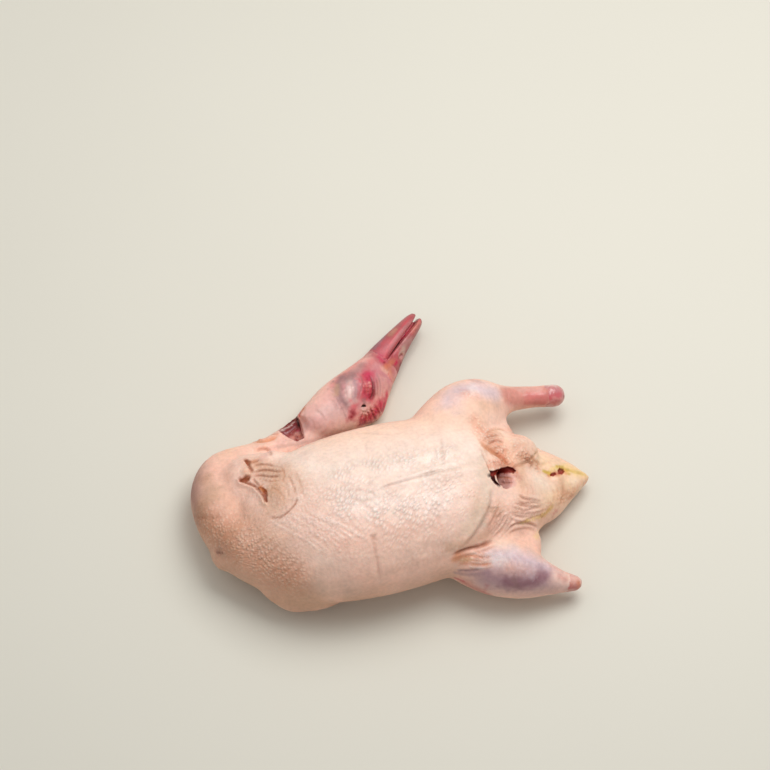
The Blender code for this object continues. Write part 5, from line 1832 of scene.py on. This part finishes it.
def pour(part: bmesh.types.BMesh, joined: bmesh.types.BMesh) -> None:
    """Add one mesh to another.

    Args:
        part: The mesh to add. It is used up.
        joined: The mesh that it is added to.
    """
    scratch = bpy.data.meshes.new("scratch")
    part.to_mesh(scratch)
    part.free()
    joined.from_mesh(scratch)
    bpy.data.meshes.remove(scratch)


def joined_copy(frame: dict, nodes: Sequence[str], swell: float) -> bmesh.types.BMesh:
    """Copy nodes of the frame into one mesh, each merged, faced outwards and swollen a little.

    Args:
        frame: The frame, as loaded.
        nodes: The nodes' names.
        swell: How far each is pushed out, in millimetres.

    Returns:
        The mesh, in metres.
    """
    joined = bmesh.new()
    for name in nodes:
        part = merged_copy(frame, name)
        for vertex in part.verts:
            vertex.co += vertex.normal * swell * MM
        pour(part, joined)
    return joined


def new_piece(name: str, mesh: bpy.types.Mesh) -> bpy.types.Object:
    """Add a piece that holds a mesh, at the origin, shaded smooth.

    Args:
        name: The piece's name.
        mesh: The mesh.

    Returns:
        The piece.
    """
    mesh.polygons.foreach_set("use_smooth", [True] * len(mesh.polygons))
    obj = bpy.data.objects.new(name, mesh)
    bpy.context.scene.collection.objects.link(obj)
    return obj


def recast(name: str, source: bmesh.types.BMesh, voxel: float) -> bpy.types.Object:
    """Make one closed, even sheet of squares round a mesh.

    Args:
        name: The new piece's name.
        source: What it is drawn round, in metres. It is used up.
        voxel: The size of its squares, in millimetres.

    Returns:
        The piece.
    """
    mesh = bpy.data.meshes.new(name)
    source.to_mesh(mesh)
    source.free()
    raw = new_piece(name + "_raw", mesh)
    remesh = raw.modifiers.new("even", "REMESH")
    remesh.mode, remesh.voxel_size, remesh.adaptivity = "VOXEL", voxel * MM, 0.0
    bpy.context.view_layer.update()
    graph = bpy.context.evaluated_depsgraph_get()
    made = bpy.data.meshes.new_from_object(raw.evaluated_get(graph))
    bpy.data.objects.remove(raw)
    bpy.data.meshes.remove(mesh)
    made.materials.clear()
    loose = bmesh.new()
    loose.from_mesh(made)
    _keep_largest(loose)
    loose.to_mesh(made)
    loose.free()
    made.name = name
    return new_piece(name, made)


def _keep_largest(mesh: bmesh.types.BMesh) -> None:
    """Delete every loose island of a mesh but the largest.

    Args:
        mesh: The mesh.
    """
    left, islands = set(mesh.verts), []
    while left:
        front = [left.pop()]
        island = list(front)
        while front:
            vertex = front.pop()
            around = {edge.other_vert(vertex) for edge in vertex.link_edges} & left
            left -= around
            front.extend(around)
            island.extend(around)
        islands.append(island)
    islands.sort(key=len)
    for island in islands[:-1]:
        bmesh.ops.delete(mesh, geom=island, context="VERTS")


def refined(obj: bpy.types.Object, chosen: np.ndarray) -> None:
    """Halve the squares of a piece round some of its points.

    Args:
        obj: The piece.
        chosen: One truth a point, whether it lies where finer squares are wanted.
    """
    mesh = bmesh.new()
    mesh.from_mesh(obj.data)
    mesh.verts.ensure_lookup_table()
    edges = [edge for edge in mesh.edges if chosen[edge.verts[0].index] and chosen[edge.verts[1].index]]
    bmesh.ops.subdivide_edges(mesh, edges=edges, cuts=1, use_grid_fill=True)
    mesh.to_mesh(obj.data)
    mesh.free()
    obj.data.polygons.foreach_set("use_smooth", [True] * len(obj.data.polygons))


def evened(obj: bpy.types.Object, base: Tone, sight: Sight, rounds: int) -> Clay:
    """Take up a piece to model, with its surface evened out first.

    Args:
        obj: The piece.
        base: The colour it starts from.
        sight: The eye that places in the picture are seen by.
        rounds: How often it is evened.

    Returns:
        The piece as clay.
    """
    clay = Clay(obj, base, sight)
    clay.relax(rounds)
    clay.settle()
    return clay


@dataclass
class Skin:
    """The whole bird's skin, from the head behind the bill to the tail and the leg ends.

    Attributes:
        voxel: The size of the sheet's squares before they are halved, in millimetres.
        finest: Where they are halved once more.
        stretched: Where it is drawn tight over what lies under it.
        swell: How far the flesh is pushed out before the skin is drawn over it, in millimetres.
        first_rounds: How often the whole is evened at first.
        stretch_rounds: How often the stretched places are.
        second_rounds: How often the whole is after its squares are halved.
        last_rounds: How often it is before it is modelled.
        seen_from: How far a point must face the eye for its squares to be halved.
        region_seeds: How many seeds each region has for its stains.
        follicle_gap: How far apart the follicles are, in millimetres.
        row_stretch: How much closer the rows are one way than the other.
        stray_size: How large the patches are in which the rows stray, in millimetres.
        stray: How far they stray, in gaps.
        body_height: How high the middle of the body is, in millimetres.
        body_breadth: How far from it the rows are measured, in millimetres.
    """

    sight: Sight
    voxel: float = 2.9
    finest: tuple[Zone, ...] = (
        Zone(((345, 398), (370, 390), (385, 380)), 30, 1.0),
        Zone(((283, 432), (300, 422)), 13, 1.0),
        Zone(((247, 466), (262, 490)), 20, 1.0),
        Zone(((492, 474), (512, 472)), 12, 1.0),
        Zone(((553, 472), (563, 472)), 9, 1.0),
    )
    fillings: tuple[Filling, ...] = (
        Filling((-94, 66, 42), (27, 20, 24)),
        Filling((-118, 62, 42), (20, 22, 20)),
        Filling((-82, -56, 25), (30, 13, 15)),
    )
    sleeves: tuple[Sleeve, ...] = (
        Sleeve("bill_upper", (35.5, 152.4, 18.0), (0.777, 0.629, 0.0), 9.0),
        Sleeve("bill_lower", (35.5, 152.4, 18.0), (0.777, 0.629, 0.0), 9.0),
        Sleeve("leg_left_hock", (167.4, 81.4, 28.6), (0.978, -0.103, -0.183), 9.0),
        Sleeve("leg_right_hock", (139.5, -101.5, 21.0), (0.93, -0.33, -0.15), 6.0, 0.7),
    )
    stretched: tuple[Zone, ...] = (
        Zone(((250, 470), (280, 458), (262, 486)), 30, 1.0),
        Zone(((490, 478), (503, 474), (514, 474)), 11, 1.0),
        Zone(((290, 606), (335, 602)), 24, 1.0),
        Zone(((541, 548), (541, 556)), 14, 1.0),
        Zone(((513, 420), (518, 432)), 12, 1.0),
        Zone(((450, 556), (470, 576)), 12, 0.8),
    )
    swell: float = 0.25
    first_rounds: int = 6
    stretch_rounds: int = 45
    second_rounds: int = 4
    last_rounds: int = 2
    seen_from: float = 0.15
    region_seeds: int = 100
    follicle_gap: float = 3.4
    row_stretch: float = 0.62
    stray_size: float = 30.0
    stray: float = 0.6
    body_height: float = 45.0
    body_breadth: float = 60.0

    def build(self, frame: dict) -> bpy.types.Object:
        """Draw the skin over its nodes, model it, tint it and dress it.

        Args:
            frame: The frame, as loaded.

        Returns:
            The skin's piece.
        """
        nodes = [row["node"] for row in frame["record"]["subparts"] if row["material_slot"] == "skin"]
        source = joined_copy(frame, nodes, self.swell)
        for filling in self.fillings:
            filling.add(source)
        for sleeve in self.sleeves:
            sleeve.add(frame, source)
        obj = recast("skin", source, self.voxel)
        clay = evened(obj, Tone.PINK, self.sight, self.first_rounds)
        tight = np.zeros(len(clay.points))
        for zone in self.stretched:
            chosen, distance, _ = clay.near(clay.cast(zone.line, 3.0), zone.radius)
            tight[chosen] = np.maximum(tight[chosen], zone.value * ease((1 - distance / zone.radius) * 2))
        clay.relax(self.stretch_rounds, tight)
        clay.settle()
        refined(obj, clay.normals @ np.array(self.sight.back) > self.seen_from)
        clay = evened(obj, Tone.PINK, self.sight, self.second_rounds)
        fine = np.zeros(len(clay.points), bool)
        for zone in self.finest:
            fine[clay.near(clay.cast(zone.line, 3.0), zone.radius)[0]] = True
        refined(obj, fine)
        clay = evened(obj, Tone.PINK, self.sight, self.last_rounds)
        LOG.info("skin has %d faces", len(obj.data.polygons))
        self._model(clay)
        self._tint(clay)
        self._qualify(clay)
        clay.finish()
        self._lay_rows(clay)
        SkinFinish().dress(obj)
        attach(obj, "root")
        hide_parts(*nodes)
        return obj

    def _model(self, clay: Clay) -> None:
        """Press and raise what the bare form lacks.

        Args:
            clay: The skin.
        """
        for region in REGIONS:
            region.shape(clay)
        clay.settle()
        for region in REGIONS:
            region.line(clay)
        clay.settle()

    def _tint(self, clay: Clay) -> None:
        """Lay the stains, the broad ones first."""
        for index, region in enumerate(REGIONS):
            region.tint(clay, self.region_seeds * index)

    def _qualify(self, clay: Clay) -> None:
        """Lay wetness, follicles and crinkles."""
        for region in REGIONS:
            region.qualify(clay)

    def _lay_rows(self, clay: Clay) -> None:
        """Lay the rows that the follicles stand in, round the body and along it.

        Args:
            clay: The skin.
        """
        x, y, z = clay.points.T
        along = x / self.follicle_gap
        round_it = self.body_breadth * np.arctan2(y, z - self.body_height) / self.follicle_gap
        warp = grain(clay.points, self.stray_size, 7) * self.stray
        layer = clay.mesh.attributes.new("rows", "FLOAT_VECTOR", "POINT")
        rows = np.zeros((len(x), 3), np.float32)
        rows[:, 0] = (along + round_it) * math.sqrt(0.5) * self.row_stretch + warp
        rows[:, 1] = (along - round_it) * math.sqrt(0.5) - warp * 1.4
        layer.data.foreach_set("vector", rows.ravel())


BILL_ABOVE = Region(
    hollows=(
        Hollow(((399.6, 354.6), (402.2, 353.2), (403.6, 355.4), (402.4, 358.4), (400.2, 358.2)),
               0.9, 0.8, Tone.HEAD_ROSE, 0.6),
    ),
    creases=(
        Crease(((420, 320.6), (415.4, 322.4), (407.6, 328), (398.2, 340), (390.6, 353.4), (386.2, 361)),
               1.1, -0.7, 0.0, 1.4, Tone.ROSE, 1.2, 0.8, False),
        Crease(((412, 328.4), (403.4, 338.4), (396, 350.6), (391, 359)),
               0.9, 0.4, 0.0, 1.4, Tone.ROSE, 0.9, 0.5),
        Crease(((398.4, 357.8), (399.6, 353), (403.4, 352), (404.8, 356)),
               0.7, 0.4, 0.4, 1.0, Tone.HEAD_PALE, 0.8, 0.6),
    ),
    stains=(
        Stain(((386, 366), (396, 356)), 14, Tone.ROSE, 0.6, 0.2),
        Stain(((387, 361), (394, 352)), 4.5, Tone.BRUISE, 0.6, 0.3),
        Stain(((417.6, 322), (412, 329)), 6, Tone.SALMON, 0.9, 0.3),
        Stain(((409, 332.5), (404, 337)), 5, Tone.ROSE, 0.7, 0.4),
        Stain(((411, 339.4), (402.5, 346)), 5.4, Tone.HEAD_PALE, 0.3, 0.5),
        Stain(((404, 349), (401, 357)), 5.5, Tone.GREY_FLESH, 0.65, 0.4),
        Stain(((389.6, 365.4), (392, 362)), 5.0, Tone.TORN_ORANGE, 0.65, 0.4),
        Stain(((395.6, 364), (396.6, 362.4)), 2.8, Tone.CRIMSON, 0.95, 0.3),
        Stain(((400.2, 365), (400.8, 363.6)), 2.4, Tone.DEEP_RED, 0.98, 0.3),
        Stain(((386.6, 359.6), (387.6, 356.4)), 1.8, Tone.DEEP_CRIMSON, 0.7, 0.3),
    ),
    wet=(Zone(((415, 325), (396, 352)), 16, 0.6),),
    pores=(Zone(((404, 340), (398, 356)), 10, 0.6),),
)

BILL_BELOW = Region(
    creases=(
        Crease(((409, 318), (401.6, 327.4), (394.6, 337), (388, 348), (384, 359)),
               1.2, -0.2, 0.0, 1.4, Tone.ROSE, 1.4, 0.9, False),
    ),
    stains=(
        Stain(((372, 358), (384, 348)), 15, Tone.BILL_ROSE, 0.9, 0.15),
        Stain(((384, 345), (396, 330)), 9, Tone.ROSE, 0.45, 0.3),
        Stain(((409.6, 316.6), (404, 322)), 6.5, Tone.ROSE, 0.85, 0.3),
        Stain(((395.5, 329.5), (391, 334)), 4.6, Tone.BROWN_BEIGE, 0.6, 0.4),
        Stain(((384, 336.6), (374, 348)), 4.2, Tone.BLUE_GREY, 0.6, 0.4),
        Stain(((375.3, 355), (376, 353.4)), 1.5, Tone.PLUM, 0.7, 0.4),
        Stain(((379, 356), (386, 357)), 5.0, Tone.CRIMSON, 0.6, 0.4),
        Stain(((408.6, 324.6), (397.2, 340.6), (387, 357)), 2.3, Tone.MOUTH, 0.9, 0.15),
    ),
    wet=(Zone(((405, 322), (388, 345)), 14, 0.6),),
    pores=(Zone(((392, 332), (378, 348)), 8, 0.5),),
)

TONGUE = Region(stains=(Stain(((412, 321), (404, 328)), 6, Tone.ROSE, 0.9, 0.2),))

FAR_LEG_END = Region(
    swellings=(
        Swelling((553, 389), 6, 0.7),
        Swelling((560, 400), 5, 0.4),
        Swelling((545, 394), 4, -0.6, 1.6, 90),
    ),
    creases=(Crease(((549, 386), (548, 394), (550, 403)), 1.2, 0.7, 0.5, 1.6, Tone.ROSE, 1.2, 0.5),),
    stains=(
        Stain(((545, 390), (560, 392)), 14, Tone.HEAD_ROSE, 0.8, 0.25),
        Stain(((548, 398), (558, 397)), 6, Tone.ROSE, 0.65, 0.4),
        # painted highlight on the top of the far leg end
        Stain(((546, 385), (558, 385)), 5, Tone.PAINTED_GLINT, 0.45, 0.5),
        # darker red on the far leg end's underside: painted shade over its own raw red
        Stain(((545, 403), (558, 402)), 6, Tone.SHANK_RED, 0.8, 0.4),
        Stain(((552, 396), (560, 394)), 4, Tone.ROSE, 0.55, 0.5),
        Stain(((564, 396.4), (564.4, 394)), 2.6, Tone.DEEP_CRIMSON, 0.95, 0.3),
    ),
    wet=(Zone(((550, 392), (560, 396)), 10, 0.8),),
)

NEAR_LEG_END = Region(
    creases=(Crease(((570, 577), (569, 583), (570, 589)), 1.0, 0.5, 0.3, 1.4, Tone.ROSE, 1.0, 0.4),),
    stains=(
        Stain(((568, 579), (579, 581)), 12, Tone.BLUSH, 0.6, 0.25),
        Stain(((568, 583), (576, 584)), 6, Tone.SHANK, 0.5, 0.4),
        Stain(((570, 588), (579, 587.6)), 5.5, Tone.SHANK_RED, 0.85, 0.35),
        Stain(((578.6, 582), (579.6, 587)), 3.6, Tone.TORN_ORANGE, 0.8, 0.4),
    ),
    wet=(Zone(((574, 582), (579, 584)), 8, 0.7),),
)


@dataclass(frozen=True)
class Ending:
    """A harder piece that shows past the skin's edge, made from one node and what its region lays on it.

    Attributes:
        swell: How far the node is pushed out, in millimetres.
        voxel: The size of its squares, in millimetres.
        rounds: How often it is evened.
    """

    name: str
    node: str
    slot: str
    region: Region
    base: Tone
    swell: float
    voxel: float
    seed: int
    rounds: int = 4

    def build(self, frame: dict, sight: Sight, finish: Finish) -> None:
        """Recast, model and dress it.

        Args:
            frame: The frame, as loaded.
            sight: The eye that places in the picture are seen by.
            finish: Its finish.
        """
        obj = recast(self.name, joined_copy(frame, [self.node], self.swell), self.voxel)
        clay = evened(obj, self.base, sight, self.rounds)
        self.region.shape(clay)
        clay.settle()
        self.region.line(clay)
        clay.settle()
        self.region.tint(clay, self.seed)
        self.region.qualify(clay)
        clay.finish()
        finish.dress(obj)
        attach(obj, "root")
        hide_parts(self.node)
        LOG.info("%s has %d faces", obj.name, len(obj.data.polygons))


@dataclass
class Bill:
    """The two halves of the bill and the tongue between them."""

    sight: Sight
    halves: tuple[Ending, ...] = (
        Ending("bill_above", "bill_upper", "bill", BILL_ABOVE, Tone.BILL, 0.05, 0.8, 900),
        Ending("bill_below", "bill_lower", "bill", BILL_BELOW, Tone.BILL, 0.05, 0.8, 900),
    )
    tongue: Ending = Ending("tongue_flesh", "tongue", "tongue", TONGUE, Tone.CRIMSON, 1.3, 0.8, 900)
    streak: float = 3.0

    def build(self, frame: dict) -> None:
        """Build the halves in horn and the tongue in flesh.

        Args:
            frame: The frame, as loaded.
        """
        horn = HornFinish()
        for half in self.halves:
            half.build(frame, self.sight, horn)
        self.tongue.build(frame, self.sight, RawFinish("tongue_flesh", self.streak))


@dataclass
class LegEnds:
    """The bare gristle where each foot was taken off at the joint."""

    sight: Sight
    ends: tuple[Ending, ...] = (
        Ending("leg_end_left", "leg_left_hock", "joint", FAR_LEG_END, Tone.SHANK, 0.2, 1.1, 950),
        Ending("leg_end_right", "leg_right_hock", "joint", NEAR_LEG_END, Tone.SHANK, 0.2, 1.1, 950),
    )
    streak: float = 5.0

    def build(self, frame: dict) -> None:
        """Build both ends.

        Args:
            frame: The frame, as loaded.
        """
        raw = RawFinish("raw_gristle", self.streak)
        for end in self.ends:
            end.build(frame, self.sight, raw)


@dataclass(frozen=True)
class Lamp:
    """A square soft light that faces the bird, with lengths in millimetres and its power in watts."""

    name: str
    place: tuple[float, float, float]
    side: float
    power: float
    colour: tuple[float, float, float]
    aim: tuple[float, float, float] = (0, 0, 40)

    def build(self) -> None:
        """Add the light."""
        data = bpy.data.lights.new(self.name, "AREA")
        data.shape, data.size, data.energy, data.color = "SQUARE", self.side * MM, self.power, self.colour
        lamp = bpy.data.objects.new(self.name, data)
        lamp.location = Vector(self.place) * MM
        lamp.rotation_mode = "QUATERNION"
        lamp.rotation_quaternion = (Vector(self.aim) - Vector(self.place)).to_track_quat("-Z", "Y")
        bpy.context.scene.collection.objects.link(lamp)


@dataclass
class Studio:
    """The pale floor and the soft light."""

    floor_side: float = 6000.0
    lamps: tuple[Lamp, ...] = (
        Lamp("window", (520, 380, 1350), 1000, 14.5, (1.0, 0.985, 0.96)),
        Lamp("room", (-500, 500, 1300), 1400, 3.0, (1.0, 0.98, 0.96)),
    )
    glow: float = 0.42
    glow_colour: tuple[float, float, float] = (1.0, 0.99, 0.97)

    def build(self) -> None:
        """Add the floor, the lights and the air's own glow."""
        mesh = bpy.data.meshes.new("floor")
        flat = bmesh.new()
        bmesh.ops.create_grid(flat, x_segments=1, y_segments=1, size=self.floor_side * MM / 2)
        flat.to_mesh(mesh)
        flat.free()
        floor = bpy.data.objects.new("floor", mesh)
        bpy.context.scene.collection.objects.link(floor)
        FloorFinish().dress(floor)
        for lamp in self.lamps:
            lamp.build()
        world = bpy.data.worlds.new("air")
        bpy.context.scene.world = world
        world.use_nodes = True
        air = world.node_tree.nodes["Background"].inputs
        air["Color"].default_value = (*self.glow_colour, 1.0)
        air["Strength"].default_value = self.glow


def main() -> None:
    """Build the bird piece by piece, then its stage."""
    logging.basicConfig(level=logging.INFO, format="%(message)s")
    for obj in list(bpy.data.objects):
        bpy.data.objects.remove(obj)
    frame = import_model()
    sight = Sight()
    sight.make_camera()
    Skin(sight).build(frame)
    Bill(sight).build(frame)
    LegEnds(sight).build(frame)
    eye = EyeFinish()
    for side in ("left", "right"):
        eye.dress(frame["nodes"][f"eye_{side}"])
    Studio().build()
    bpy.context.scene.view_settings.view_transform = "Standard"


if __name__ == "__main__":
    main()
